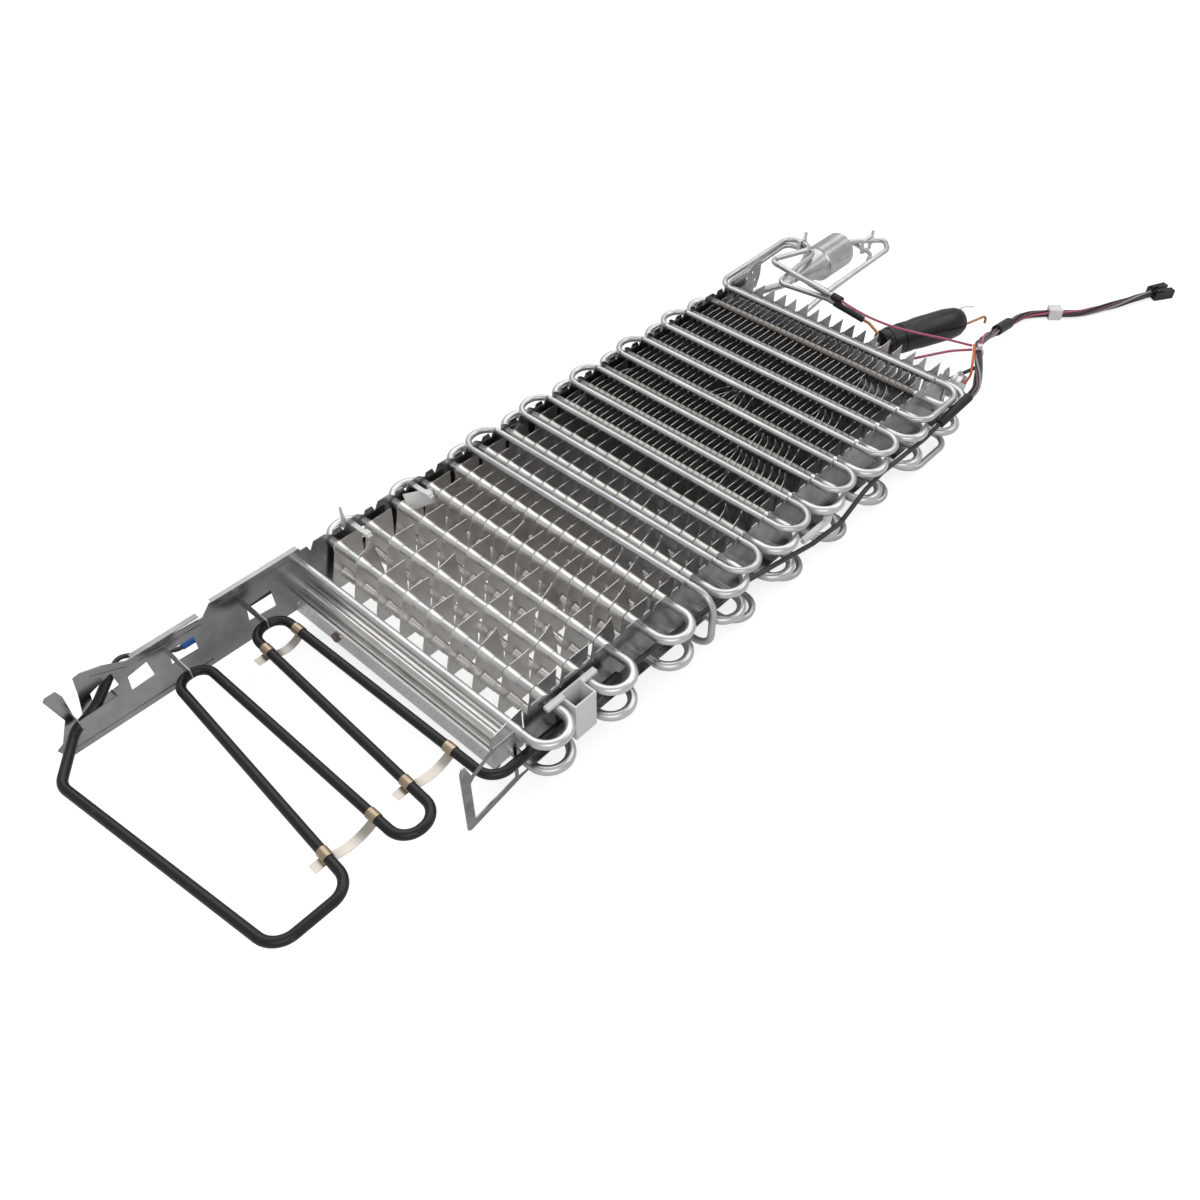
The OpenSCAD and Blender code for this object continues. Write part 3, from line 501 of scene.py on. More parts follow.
def spline_points(points: list[Vector], count: int) -> list[Vector]:
    """Points at equal steps along a smooth curve through the given ones.

    Args:
        points: The points that the curve passes through.
        count: How many points to give back.

    Returns:
        The points, the first and last ones included.
    """
    ends = [2 * points[0] - points[1], *points, 2 * points[-1] - points[-2]]
    fine: list[Vector] = []
    for a, b, c, d in zip(ends, ends[1:], ends[2:], ends[3:]):
        for step in range(CURVE_STEPS):
            t = step / CURVE_STEPS
            fine.append(0.5 * (2 * b + (c - a) * t + (2 * a - 5 * b + 4 * c - d) * t * t
                               + (3 * b - a - 3 * c + d) * t * t * t))
    fine.append(points[-1].copy())
    lengths = [0.0]
    for a, b in zip(fine, fine[1:]):
        lengths.append(lengths[-1] + (b - a).length)
    found, i = [], 0
    for k in range(count):
        want = lengths[-1] * k / (count - 1)
        while i < len(fine) - 2 and lengths[i + 1] < want:
            i += 1
        part = (want - lengths[i]) / max(lengths[i + 1] - lengths[i], 1e-9)
        found.append(fine[i].lerp(fine[i + 1], min(1.0, part)))
    return found


def path_length(points: list[Vector]) -> float:
    """Gives the length of a polyline."""
    return sum((b - a).length for a, b in zip(points, points[1:]))


def in_metres(points: Sequence[Place]) -> list[Vector]:
    """Gives points in metres that are written in millimetres."""
    return [Vector(p) * MM for p in points]


def revolve(bm: bmesh.types.BMesh, profile: list[tuple[float, float]], place: Matrix,
            segments: int) -> None:
    """Spins a profile round its axis and adds the surface to a bmesh.

    Args:
        bm: The bmesh to add to.
        profile: Distance along the axis and radius of each point.
        place: Moves the result, made along X from the origin, to its place.
        segments: Number of faces round the axis.
    """
    part = bmesh.new()
    verts = [bmesh.ops.create_vert(part, co=(along, 0.0, radius))["vert"][0] for along, radius in profile]
    edges = [part.edges.new(pair) for pair in zip(verts, verts[1:])]
    bmesh.ops.spin(part, geom=verts + edges, cent=(0, 0, 0), axis=(1, 0, 0), angle=2 * math.pi,
                   steps=segments, use_merge=True)
    bmesh.ops.remove_doubles(part, verts=part.verts[:], dist=1e-6)
    bmesh.ops.recalc_face_normals(part, faces=part.faces[:])
    bmesh.ops.transform(part, matrix=place, verts=part.verts[:])
    join_into(bm, part)


def join_into(bm: bmesh.types.BMesh, part: bmesh.types.BMesh) -> None:
    """Adds one bmesh to another and frees it.

    Args:
        bm: The bmesh to add to.
        part: The bmesh that is added.
    """
    mesh = bpy.data.meshes.new("part")
    part.to_mesh(mesh)
    part.free()
    bm.from_mesh(mesh)
    bpy.data.meshes.remove(mesh)


# Fins


@dataclass(frozen=True)
class Bend:
    """A bend that handling left in one fin.

    Attributes:
        x: Where along the row the fin is, in millimetres; the nearest fin takes the bend.
        top: How far the top back corner leans along X, in millimetres.
        low: How far the bottom back corner leans along X.
        curl: How far the back edge is pulled in towards the tube.
    """

    x: float
    top: float
    low: float = 0.0
    curl: float = 0.0


class Spacing(Enum):
    """How close a row's fins are, and what goes with it."""

    OPEN = (4, 9, 1.3, 0.7)
    MEDIUM = (2, 17, 1.8, 0.7)
    DENSE = (1, 33, 0.9, 0.35)

    def __init__(self, steps: int, count: int, flare: float, swing: float) -> None:
        """Names the four values.

        Args:
            steps: Distance from fin to fin, in steps of the dense rows.
            count: Number of fins.
            flare: How far a collar's foot flares, in millimetres.
            swing: How far the sheets wave, in millimetres.
        """
        self.steps, self.count, self.flare, self.swing = steps, count, flare * MM, swing * MM


@dataclass
class FinRow:
    """One row of fins on both layers of tube: thin sheets with spacer collars, waves and bent corners.

    Attributes:
        row: The row's number.
        spacing: How close its fins are.
        bends: The fins that handling has bent.
        step: Distance from fin to fin in a dense row.
        first_x: Where the first fin is along the row.
        first_y: Where row 1 is along the coil.
        pitch: Distance from row to row.
        upper: Height of the upper layer of tube.
        lower: Height of the lower layer.
        top: Height of the fins' top edge.
        bottom: Height of their bottom edge.
        front: How far the sheet reaches to the front of the row's line.
        back: How far it reaches to the back, at its top.
        collar_r: Outer radius of the spacer collars.
        collar_faces: Number of faces round a collar.
        sheet: Thickness of the sheet.
        fold_y: How far behind the row's line a corner starts to fold, at the height fold_z.
        fold_z: That height.
        fold_angle: Degrees by which a corner folds for a lean of 1 mm; they grow with its square root.
        wave: How fast the waves change along Y, along Z and from fin to fin.
        ragged: How fast the ragged back edge changes from fin to fin, along Z and along Y.
        rag: How far the back edge is ragged, in millimetres.
        spread: Spread of the fins' own small leans, in millimetres.
    """

    HELD = 0.25  # share of the waves that is left where the tubes hold a sheet
    TORN = 0.8  # share of the free depth from which the back edge is ragged
    SEEDS = 40  # seeds kept for a row, more than it has fins

    row: int
    spacing: Spacing
    bends: tuple[Bend, ...] = ()
    step: float = 7.25 * MM
    first_x: float = -128.0 * MM
    first_y: float = -274.5 * MM
    pitch: float = 34.0 * MM
    upper: float = 57.0 * MM
    lower: float = 26.3 * MM
    top: float = 61.5 * MM
    bottom: float = 13.0 * MM
    front: float = 12.5 * MM
    back: float = 24.0 * MM
    collar_r: float = 4.36 * MM
    collar_faces: int = 20
    sheet: float = 0.35 * MM
    fold_y: float = 6.0 * MM
    fold_z: float = 38.0 * MM
    fold_angle: float = 16.0
    wave: tuple[float, float, float] = (60.0, 45.0, 3.7)
    ragged: tuple[float, float, float] = (5.1, 900.0, 100.0)
    rag: float = 0.7
    spread: float = 0.4

    @property
    def gap(self) -> float:
        """Gives the distance from fin to fin."""
        return self.step * self.spacing.steps

    def outline(self) -> list[Vector]:
        """Lists the sheet's corners round its outline.

        Returns:
            Points in the plane X = 0, from the row's line.
        """
        return [Vector(q) for q in ((0.0, -4.6 * MM, self.upper), (0.0, -12.5 * MM, self.lower),
                                    (0.0, -self.front, self.bottom), (0.0, 20.5 * MM, self.bottom),
                                    (0.0, self.back, self.top), (0.0, 0.0, self.top),
                                    (0.0, -3.4 * MM, self.top - 1.0 * MM))]

    def blank(self) -> bmesh.types.BMesh:
        """Cuts one flat sheet to the outline.

        Returns:
            A bmesh in the plane X = 0.
        """
        bm = bmesh.new()
        bmesh.ops.create_grid(bm, x_segments=6, y_segments=16, size=0.5)
        spare = 1 * MM
        high, low = self.top + spare, self.bottom - spare
        wide, far = self.back + spare, -self.front - spare
        bmesh.ops.scale(bm, vec=(wide - far, high - low, 1.0), verts=bm.verts[:])
        bmesh.ops.translate(bm, vec=((wide + far) / 2, (high + low) / 2, 0.0), verts=bm.verts[:])
        upright = Matrix(((0, 0, 1, 0), (1, 0, 0, 0), (0, 1, 0, 0), (0, 0, 0, 1)))
        bmesh.ops.transform(bm, matrix=upright, verts=bm.verts[:])
        corners = self.outline()
        inside = Vector((0, 4 * MM, 40 * MM))
        for a, b in zip(corners, corners[1:] + corners[:1]):
            outward = Vector((1, 0, 0)).cross(b - a)
            if outward.dot(inside - a) > 0:
                outward.negate()
            bmesh.ops.bisect_plane(bm, geom=bm.verts[:] + bm.edges[:] + bm.faces[:], plane_co=a,
                                   plane_no=outward, clear_outer=True)
        bmesh.ops.solidify(bm, geom=bm.faces[:], thickness=self.sheet)
        bmesh.ops.recalc_face_normals(bm, faces=bm.faces[:])
        return bm

    def lean(self, place: Vector, seed: float, bend: Bend | None, tilt: float) -> Vector:
        """How far a point of a sheet has moved from flat.

        Args:
            place: The point, from the row's line.
            seed: A number of the fin's own.
            bend: The fin's bend, if it has one.
            tilt: The fin's own small lean at its free edge.

        Returns:
            The move in metres.
        """
        free = max(0.0, (place.y - self.fold_y) / (self.back - self.fold_y))
        high = min(1.0, max(0.0, (place.z - self.bottom) / (self.top - self.bottom)))
        across, up, by_fin = self.wave
        wave = noise.noise(Vector((place.y * across, place.z * up, seed * by_fin)))
        dx = wave * self.spacing.swing * (self.HELD + free) + tilt * free ** 1.5 * (0.3 + high)
        by_fin, up, across = self.ragged
        ragged = noise.noise(Vector((seed * by_fin, place.z * up, place.y * across)))
        dy = ragged * self.rag * MM if free > self.TORN else 0.0
        dz = 0.0
        if bend:
            reach = (self.back - self.fold_y + self.top - self.fold_z) * FOLD_SLANT
            past = max(0.0, (place.y - self.fold_y + place.z - self.fold_z) * FOLD_SLANT)
            curve = math.radians(self.fold_angle * math.sqrt(abs(bend.top))) / reach
            drawn = past - math.sin(curve * past) / curve
            dx += math.copysign((1 - math.cos(curve * past)) / curve, bend.top)
            dx += free ** 1.4 * bend.low * (1 - high) ** 1.5 * MM
            dy -= drawn * FOLD_SLANT + free ** 2 * bend.curl * high * 0.3 * MM
            dz -= drawn * FOLD_SLANT
        return Vector((dx, dy, dz))

    def collar(self) -> list[tuple[float, float]]:
        """Gives the profile of a collar: a foot flared against its fin, a barrel and a small lip.

        Returns:
            Distance along the tube and radius of each point.
        """
        span = self.gap / 2 if self.spacing is Spacing.OPEN else self.gap - 0.4 * MM
        flare, barrel = self.spacing.flare, self.collar_r
        return [(0.0, barrel + flare), (0.3 * flare, barrel + 0.45 * flare),
                (1.2 * flare, barrel + 0.1 * flare), (span - 0.5 * MM, barrel),
                (span, barrel + 0.12 * MM), (span + 0.02 * MM, barrel - 0.3 * MM)]

    def build(self, palette: Palette) -> None:
        """Makes the row's fins as one piece, with attributes that mark the cut edges, which take a painted
        highlight, and the collars.

        Args:
            palette: The finishes.
        """
        blank = self.blank()
        # cut-edge faces, which the fin finish paints with a painted highlight
        rims = [abs(face.normal.x) < 0.5 for face in blank.faces]
        flat = bpy.data.meshes.new("blank")
        blank.to_mesh(flat)
        blank.free()
        rng = random.Random(self.row)
        bm = bmesh.new()
        edges: list[float] = []
        collars: list[float] = []
        y = self.first_y + (self.row - 1) * self.pitch
        profile = self.collar()
        for i in range(self.spacing.count):
            x = self.first_x + i * self.gap
            near = [b for b in self.bends if abs(b.x * MM - x) < self.gap / 2]
            tilt = rng.gauss(0.0, self.spread) * MM
            seed = self.row * self.SEEDS + i
            start = len(bm.verts)
            made = len(bm.faces) - len(edges)
            edges += [0.0] * made + [float(rim_highlight) for rim_highlight in rims]
            collars += [1.0] * made + [0.0] * len(rims)
            bm.from_mesh(flat)
            bm.verts.ensure_lookup_table()
            for vert in bm.verts[start:]:
                vert.co += self.lean(vert.co, seed, near[0] if near else None, tilt) + Vector((x, y, 0.0))
            for z in (self.upper, self.lower):
                revolve(bm, profile, Matrix.Translation((x, y, z)), self.collar_faces)
        bpy.data.meshes.remove(flat)
        collars += [1.0] * (len(bm.faces) - len(collars))
        edges += [0.0] * (len(bm.faces) - len(edges))
        obj = add_mesh(f"fins_{self.row:02d}", bm)
        obj.data.attributes.new("rim_highlight", "FLOAT", "FACE").data.foreach_set("value", edges)
        obj.data.attributes.new("collar", "FLOAT", "FACE").data.foreach_set("value", collars)
        palette.dress(obj, "fin_aluminium")
        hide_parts(f"fins_row_{self.row:02d}")


class FinPack:
    """All rows of fins, from the open ones at the front to the dense ones at the back."""

    OPEN = (2, 3, 4)
    MEDIUM = (5, 6, 7, 8, 9, 18)
    BENDS: dict[int, tuple[Bend, ...]] = {
        2: (Bend(-99.0, -9.6, 0.0, 5.0), Bend(46.0, -2.4, 2.0, 1.0)),
        3: (Bend(75.0, -4.8, -5.0, 8.0), Bend(-41.0, -2.4, 0.0, 1.0)),
        4: (Bend(46.0, -8.8, 0.0, 5.0), Bend(104.0, -2.4, 0.0, 1.0)),
        5: (Bend(-26.5, -3.2, 0.0, 2.0), Bend(89.5, -3.2, 2.0, 1.0)),
        6: (Bend(60.5, -6.4, 0.0, 4.0), Bend(75.0, -4.0, 2.0, 2.0)),
        7: (Bend(60.5, -4.8, 2.0, 2.0), Bend(75.0, -8.0, 0.0, 5.0)),
        8: (Bend(-128.0, -4.8, 0.0, 4.0), Bend(31.5, -3.2, 0.0, 2.0)),
        9: (Bend(89.5, -7.2, 0.0, 5.0), Bend(104.0, -4.8, 2.0, 3.0)),
        10: (Bend(-113.5, -4.0, 0.0, 4.0), Bend(60.5, -2.4, 0.0, 1.0)),
        11: (Bend(46.0, -4.0, 0.0, 2.0), Bend(53.25, -8.0, 0.0, 4.0), Bend(60.5, -10.0, 2.0, 5.0),
             Bend(67.75, -10.0, 2.0, 6.0), Bend(75.0, -9.0, 0.0, 4.0), Bend(82.25, -11.0, 0.0, 6.0),
             Bend(89.5, -9.0, 0.0, 4.0), Bend(96.75, -8.0, 2.0, 3.0), Bend(104.0, -9.0, 0.0, 5.0)),
        12: (Bend(-120.75, 4.0, 0.0, 4.0), Bend(46.0, -6.0, 0.0, 3.0), Bend(53.25, -9.0, 2.0, 5.0),
             Bend(60.5, -11.0, 0.0, 6.0), Bend(67.75, -9.0, 0.0, 5.0), Bend(75.0, -10.0, 2.0, 5.0),
             Bend(82.25, -8.0, 0.0, 4.0), Bend(89.5, -5.0, 0.0, 2.0)),
        13: (Bend(-33.75, 4.0, 0.0, 1.0), Bend(-26.5, 6.0, 0.0, 2.0), Bend(-4.75, -5.0, 0.0, 2.0),
             Bend(2.5, -7.0, 0.0, 3.0), Bend(9.75, -4.0, 0.0, 1.0)),
        14: (Bend(67.75, -6.0, 0.0, 3.0), Bend(75.0, -9.0, 0.0, 5.0), Bend(82.25, -8.0, 0.0, 4.0),
             Bend(89.5, -6.0, 0.0, 2.0)),
        16: (Bend(67.75, -5.0, 0.0, 3.0), Bend(75.0, -8.0, 0.0, 5.0), Bend(82.25, -10.0, 0.0, 5.0),
             Bend(89.5, -8.0, 0.0, 4.0), Bend(96.75, -5.0, 0.0, 2.0)),
    }

    def build(self, palette: Palette) -> None:
        """Makes every row.

        Args:
            palette: The finishes.
        """
        for row in FIN_ROWS:
            spacing = (Spacing.OPEN if row in self.OPEN
                       else Spacing.MEDIUM if row in self.MEDIUM else Spacing.DENSE)
            FinRow(row, spacing, self.BENDS.get(row, ())).build(palette)


# Wiring


@dataclass
class Wire:
    """One insulated wire along a route.

    Attributes:
        name: The piece's name.
        finish: The finish's name.
        route: Points of the route in metres.
        radius: Outer radius of the wire.
        slot: The record's material slot, where the wire has one; not used.
        replaces: CAD nodes that the wire stands for.
        offset: Distance from the route's line, for a wire of a bundle.
        phase: Angle round the route's line at the start, in degrees.
        turns: Turns round the route's line along its length.
        points: Number of control points.
        with_pieces: Pieces on the wire; not used.
        far_end: What the wire ends in; not used.
        sway: How much the offset grows and shrinks along a wire of a bundle, as a share of it.
        sways: How fast it does, in radians over the wire's length.
    """

    name: str
    finish: str
    route: list[Vector]
    radius: float
    slot: str = ""
    replaces: tuple[str, ...] = ()
    offset: float = 0.0
    phase: float = 0.0
    turns: float = 0.0
    points: int = 24
    with_pieces: tuple[str, ...] = ()
    far_end: str = "connector"
    sway: float = 0.1
    sways: float = 9.0

    def line(self) -> list[Vector]:
        """Works out the wire's own control points.

        Returns:
            The points in metres.
        """
        base = spline_points(self.route, self.points)
        found = []
        for i, p in enumerate(base):
            ahead = (base[min(i + 1, len(base) - 1)] - base[max(i - 1, 0)]).normalized()
            side = ahead.cross(Vector((0, 0, 1))).normalized()
            up = side.cross(ahead)
            part = i / (len(base) - 1)
            angle = math.radians(self.phase) + 2 * math.pi * self.turns * part
            loose = self.offset * (1 + self.sway * math.sin(self.sways * part + self.phase))
            found.append(p + loose * (math.cos(angle) * side + math.sin(angle) * up))
        return found

    def build(self, palette: Palette) -> None:
        """Args:
            palette: The finishes.
        """
        line = self.line()
        curve = bpy.data.curves.new(self.name, "CURVE")
        curve.dimensions = "3D"
        curve.bevel_depth = self.radius
        curve.bevel_resolution = 3
        curve.resolution_u = 6
        curve.use_fill_caps = True
        spline = curve.splines.new("BEZIER")
        spline.bezier_points.add(len(line) - 1)
        for point, place in zip(spline.bezier_points, line):
            point.co = place
            point.handle_left_type = point.handle_right_type = "AUTO"
        obj = bpy.data.objects.new(self.name, curve)
        bpy.context.scene.collection.objects.link(obj)
        palette.dress(obj, self.finish)
        if self.replaces:
            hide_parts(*self.replaces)
        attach(obj, "root")
        path_length(spline_points(line, ROUTE_SAMPLES))
        log.info("%s: %.3f m of wire", self.name, path_length(line))


@dataclass
class Wiring:
    """The free wiring at the back: the harness's bundle and the leads that join it.

    Attributes:
        harness_route: Route of the bundle, from the right plate to the end connectors.
        pink_route: Route of the lead from the upper heater boot to the harness tie.
        pink_rear_route: Route of the lead from the rear boot to the same tie.
        orange_route: Route of the lead from the tie down to the thermostat.
        strand_r: Radius of the bundle's wires.
        strand_offset: Distance of the outer wires from the bundle's line.
        strand_turns: Turns that they make round it.
        lead_r: Radius of the leads.
    """

    STRANDS = ("wire_black", "wire_brown", "wire_black", "wire_pink", "wire_brown", "wire_black", "wire_grey")
    CARRIED = ("harness_tape", "harness_tie", "harness_cap", "harness_plug", "end_connectors")

    harness_route: list[Vector] = field(default_factory=lambda: in_metres([
        (157, 288, 66), (158, 294, 68), (152, 312, 67), (142, 334, 62), (127, 362, 58), (113, 388, 54),
        (104, 416, 44), (96, 450, 30), (90, 484, 17), (87, 520, 8), (90, 553, 5), (104, 572, 5),
        (118, 584, 5), (132, 598, 5), (144, 620, 5), (156, 646, 5), (166, 672, 5), (175, 694, 5)]))
    pink_route: list[Vector] = field(default_factory=lambda: in_metres([
        (-27, 344.5, 69), (-10, 342, 68), (10, 345, 64), (34, 354, 59), (58, 366, 56), (82, 378, 54),
        (107, 387, 53)]))
    pink_rear_route: list[Vector] = field(default_factory=lambda: in_metres([
        (-8, 341.5, 12.5), (12, 341.5, 13), (34, 342, 20), (56, 344, 33), (76, 352, 44), (94, 368, 50),
        (110, 382, 52)]))
    orange_route: list[Vector] = field(default_factory=lambda: in_metres([
        (111, 382, 58), (118, 368, 60), (126, 352, 58), (132, 340, 53), (131.5, 332, 46)]))
    strand_r: float = 1.2 * MM
    strand_offset: float = 2.9 * MM
    strand_turns: float = 2.3
    lead_r: float = 1.3 * MM

    def strands(self) -> list[Wire]:
        """Plans the harness's seven wires, one in the middle and six round it.

        Returns:
            The wires; the first stands for the harness and lists the pieces on it.
        """
        return [Wire(f"harness_wire_{i + 1}", finish, self.harness_route, self.strand_r,
                     replaces=("harness",) if i == 0 else (), offset=0.0 if i == 0 else self.strand_offset,
                     phase=60.0 * i, turns=self.strand_turns, points=38,
                     with_pieces=self.CARRIED if i == 0 else self.CARRIED[-1:])
                for i, finish in enumerate(self.STRANDS)]

    def build(self, palette: Palette) -> None:
        """Makes every wire.

        Args:
            palette: The finishes.
        """
        for wire in self.strands():
            wire.build(palette)
        Wire("pink_wire_upper", "wire_pink", self.pink_route, self.lead_r, "wire_pink", ("pink_lead",),
             far_end="object").build(palette)
        Wire("pink_wire_lower", "wire_pink", self.pink_rear_route, self.lead_r, "wire_pink",
             ("pink_lead_rear",), far_end="object").build(palette)
        Wire("orange_wire", "wire_orange", self.orange_route, self.lead_r, "wire_orange", ("orange_lead",),
             points=16, far_end="object").build(palette)


# Soft black sleeve and white trim


@dataclass
class Sleeve:
    """The black insulation sleeve behind the fins, with a fat taped end towards the coil.

    Attributes:
        near: Middle of its end at the coil.
        far: Middle of its far end.
        radius: Its thickest radius.
        faces: Number of faces round it.
        lumps: How fast its lumps change from place to place.
        swell: How high they are, in millimetres.
        core: Distance from its axis within which its ends stay flat.
    """

    # Distance from the end and depth below the radius, in millimetres; the steps are the tape's wraps
    NEAR_END = ((0.0, 5.0), (1.5, 3.0), (10.0, 2.4), (10.4, 1.6), (19.0, 1.2), (19.4, 2.0), (24.0, 1.8),
                (24.4, 1.0), (34.0, 0.5), (34.4, 1.2), (48.0, 0.0))
    FAR_END = ((22.0, 0.0), (10.0, 1.5), (3.0, 4.5), (0.0, 8.0))

    near: Vector = field(default_factory=lambda: Vector((21.3, 355.4, 32.0)) * MM)
    far: Vector = field(default_factory=lambda: Vector((60.0, 455.5, 32.0)) * MM)
    radius: float = 17.0 * MM
    faces: int = 40
    lumps: float = 55.0
    swell: float = 1.1
    core: float = 4 * MM

    def build(self, palette: Palette) -> None:
        """Makes the sleeve over its CAD node.

        Args:
            palette: The finishes.
        """
        run = self.far - self.near
        length = run.length
        profile = [(0.0, 0.0), *((at * MM, self.radius - down * MM) for at, down in self.NEAR_END),
                   *((length - at * MM, self.radius - down * MM) for at, down in self.FAR_END), (length, 0.0)]
        bm = bmesh.new()
        revolve(bm, profile, Matrix.Translation(self.near) @ run.to_track_quat("X", "Z").to_matrix().to_4x4(),
                self.faces)
        for vert in bm.verts:
            push = noise.noise(vert.co * self.lumps) * self.swell * MM
            axis = self.near + run * max(0.0, min(1.0, (vert.co - self.near).dot(run) / run.length_squared))
            away = vert.co - axis
            if away.length > self.core:
                vert.co += away.normalized() * push
        obj = add_mesh("sleeve", bm, crease=50.0)
        palette.dress(obj, "sleeve_black")
        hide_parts("insulation_sleeve")


@dataclass(frozen=True)
class Slab:
    """A thin white piece with four corners.

    Attributes:
        name: The piece's name.
        corners: Its corners round its outline, in millimetres.
        thick: Its thickness.
        replaces: CAD nodes that it stands for.
    """

    name: str
    corners: tuple[Place, ...]
    thick: float = 1.2 * MM
    replaces: tuple[str, ...] = ()

    def build(self, palette: Palette) -> None:
        """Makes the slab.

        Args:
            palette: The finishes.
        """
        bm = bmesh.new()
        verts = [bmesh.ops.create_vert(bm, co=corner)["vert"][0] for corner in in_metres(self.corners)]
        bmesh.ops.contextual_create(bm, geom=verts)
        bmesh.ops.solidify(bm, geom=bm.faces[:], thickness=self.thick)
        bmesh.ops.recalc_face_normals(bm, faces=bm.faces[:])
        bmesh.ops.bevel(bm, geom=bm.edges[:], offset=0.25 * MM, offset_type="OFFSET", segments=2,
                        profile=0.5, affect="EDGES", material=-1)
        obj = add_mesh(self.name, bm)
        palette.dress(obj, "white_plastic")
        if self.replaces:
            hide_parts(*self.replaces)


class WhiteTrim:
    """The leaning pad at the left plate and the tie's tail that stands up beside it."""

    PIECES = (
        Slab("pad_left", ((-131.0, -167.5, 66.0), (-121.0, -143.5, 63.5),
                          (-117.5, -143.5, 50.0), (-125.0, -167.5, 50.0)), 1.6 * MM, ("left_pad",)),
        Slab("tie_tail", ((-140.5, -226.5, 60.5), (-140.5, -221.5, 60.5),
                          (-142.0, -222.8, 81.5), (-142.0, -225.2, 81.5))),
    )

    def build(self, palette: Palette) -> None:
        """Makes both.

        Args:
            palette: The finishes.
        """
        for piece in self.PIECES:
            piece.build(palette)


# The coil's own nodes


class CadNodes:
    """The CAD nodes and their finishes; some of them are replaced by the pieces above."""

    FINISHES = {
        "tube_aluminium": ("coil_tube", "outlet_tube"),
        "fin_aluminium": tuple(f"fins_row_{row:02d}" for row in FIN_ROWS),
        "plate_aluminium": ("left_plate",),
        # painted shade: the right plate takes the darkened aluminium
        "plate_painted_shade": ("right_plate",),
        "tray_aluminium": ("drip_tray", "dimpled_strip"),
        "pipe_aluminium": ("pipe_heater", "pipe_crimps", "suction_tube", "inlet_tube", "second_tube",
                           "thermostat"),
        "spun_aluminium": ("accumulator",),
        "sheath_black": ("sheath_heater",),
        "black_rubber": ("pipe_boots", "sheath_boot", "joint_sleeve", "harness_cap"),
        "sleeve_black": ("insulation_sleeve",),
        "band_brass": ("heater_bands",),
        "strip_steel": ("spring_strips", "capillary"),
        "copper": ("copper_tube", "copper_stub"),
        "white_plastic": ("side_holder", "rear_holder", "left_pad", "tube_ties", "left_ties", "harness_tie",
                          "harness_plug"),
        "brown_plastic": ("strip_grommet",),
        "blue_plastic": ("lead_splice",),
        "wire_black": ("left_lead", "side_cable", "harness"),
        "tape_black": ("harness_tape",),
        "wire_pink": ("pink_lead", "pink_lead_rear"),
        "wire_orange": ("orange_lead",),
        "connector_black": ("end_connectors",),
    }

    def build(self, palette: Palette) -> None:
        """Gives every node its finish.

        Args:
            palette: The finishes.
        """
        for finish, nodes in self.FINISHES.items():
            for node in nodes:
                palette.dress(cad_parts[node], finish)
        log.info("finished %d nodes", sum(map(len, self.FINISHES.values())))


# Studio


@dataclass
class Camera:
    """The camera at the photograph's viewing angle.

    Attributes:
        place: Its place.
        forward: The way that it looks.
        right: The picture's right.
        lens: Focal length in millimetres on a 36 mm frame.
    """

    place: Place = (0.5049, -0.5967, 0.7035)
    forward: Place = (-0.47628691, 0.5080914, -0.71763076)
    right: Place = (0.73309066, 0.68011241, -0.0050196)
    lens: float = 33.93

    def build(self) -> None:
        """Makes the camera and sets it as the scene's."""
        data = bpy.data.cameras.new("Camera")
        data.sensor_fit = "HORIZONTAL"
        data.sensor_width = 36.0
        data.lens = self.lens
        data.clip_start = 0.01
        obj = bpy.data.objects.new("Camera", data)
        bpy.context.scene.collection.objects.link(obj)
        right, back = Vector(self.right).normalized(), -Vector(self.forward).normalized()
        up = back.cross(right)
        turn = Matrix((right, up, back)).transposed().to_4x4()
        obj.matrix_world = Matrix.Translation(self.place) @ turn
        bpy.context.scene.camera = obj
        log.info("camera at %s", self.place)


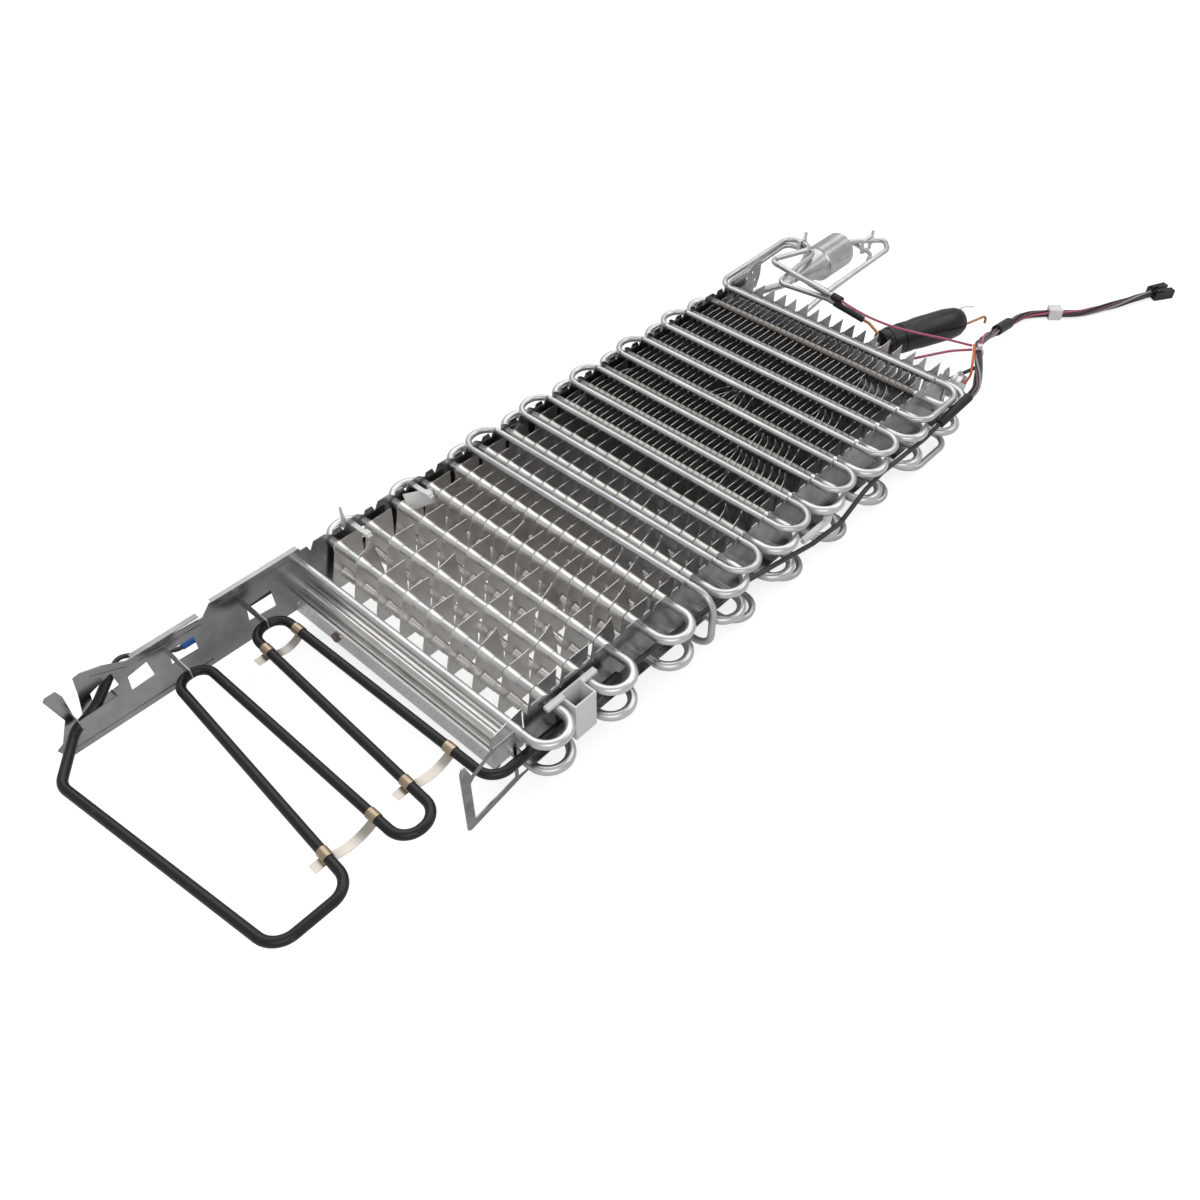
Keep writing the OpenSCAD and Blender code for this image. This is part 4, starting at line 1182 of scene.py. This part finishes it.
@dataclass
class Studio:
    """A pale floor, a pale room and soft lamps.

    Attributes:
        floor_size: Side of the floor.
        matt: The floor's own grey.
        room: Brightness of the room where the camera doesn't see it directly.
        glow: White added to the floor where the camera sees it, over the light that falls on it.
        sheen: The same where metal mirrors the floor.
        target: The point that the lamps shine at.
        lamps: Name, place, size and power in watts of each lamp.
    """

    floor_size: float = 60.0
    matt: float = 0.58
    room: float = 0.5
    glow: float = 0.72
    sheen: float = 0.17
    target: Place = (0.0, 0.0, 0.03)
    lamps: tuple[tuple[str, Place, tuple[float, float], float], ...] = (
        ("key", (-0.9, 0.8, 1.9), (2.4, 2.4), 18.0),
        ("fill", (1.5, -1.2, 1.5), (1.8, 1.5), 9.0),
        ("back", (0.8, 1.3, 1.5), (1.6, 0.8), 5.0),
    )

    def floor(self) -> None:
        """Makes the floor: matt grey, lifted to white for the camera and a little in reflections."""
        bm = bmesh.new()
        bmesh.ops.create_grid(bm, x_segments=1, y_segments=1, size=self.floor_size / 2)
        mesh = bpy.data.meshes.new("floor")
        bm.to_mesh(mesh)
        bm.free()
        obj = bpy.data.objects.new("floor", mesh)
        bpy.context.scene.collection.objects.link(obj)
        material, tree, shader = new_material("floor_white")
        shader.inputs["Base Color"].default_value = (self.matt, self.matt, self.matt, 1.0)
        shader.inputs["Roughness"].default_value = 0.9
        shader.inputs["Emission Color"].default_value = (1.0, 1.0, 1.0, 1.0)
        seen = tree.nodes.new("ShaderNodeLightPath")
        lift = tree.nodes.new("ShaderNodeMath")
        lift.operation = "ADD"
        tree.links.new(scaled(tree, seen.outputs["Is Camera Ray"], 0.0, self.glow), lift.inputs[0])
        tree.links.new(scaled(tree, seen.outputs["Is Glossy Ray"], 0.0, self.sheen), lift.inputs[1])
        tree.links.new(lift.outputs["Value"], shader.inputs["Emission Strength"])
        obj.data.materials.append(material)

    def world(self) -> None:
        """Makes the room: white to the camera, plain grey light for everything else."""
        world = bpy.data.worlds.new("room")
        bpy.context.scene.world = world
        world.use_nodes = True
        tree = world.node_tree
        seen = tree.nodes.new("ShaderNodeLightPath")
        mix = tree.nodes.new("ShaderNodeMix")
        mix.data_type = "FLOAT"
        mix.inputs["A"].default_value = self.room
        mix.inputs["B"].default_value = 1.0
        tree.links.new(seen.outputs["Is Camera Ray"], mix.inputs["Factor"])
        background = tree.nodes["Background"]
        background.inputs["Color"].default_value = (1.0, 1.0, 1.0, 1.0)
        tree.links.new(mix.outputs["Result"], background.inputs["Strength"])

    def build(self) -> None:
        """Makes floor, room and lamps."""
        self.floor()
        self.world()
        for name, place, size, power in self.lamps:
            data = bpy.data.lights.new(name, "AREA")
            data.shape = "RECTANGLE"
            data.size, data.size_y = size
            data.energy = power
            obj = bpy.data.objects.new(name, data)
            bpy.context.scene.collection.objects.link(obj)
            obj.location = place
            obj.rotation_euler = (Vector(self.target) - Vector(place)).to_track_quat("-Z", "Y").to_euler()
        bpy.context.scene.view_settings.view_transform = "Standard"
        log.info("studio with %d lamps", len(self.lamps))


def main() -> None:
    """Builds the camera, the finishes, the wiring, the fins, the sleeve, the white trim and the studio."""
    logging.basicConfig(level=logging.INFO, format="%(name)s: %(message)s")
    Camera().build()
    palette = Palette()
    CadNodes().build(palette)
    Wiring().build(palette)
    FinPack().build(palette)
    Sleeve().build(palette)
    WhiteTrim().build(palette)
    Studio().build()


if __name__ == "__main__":
    main()
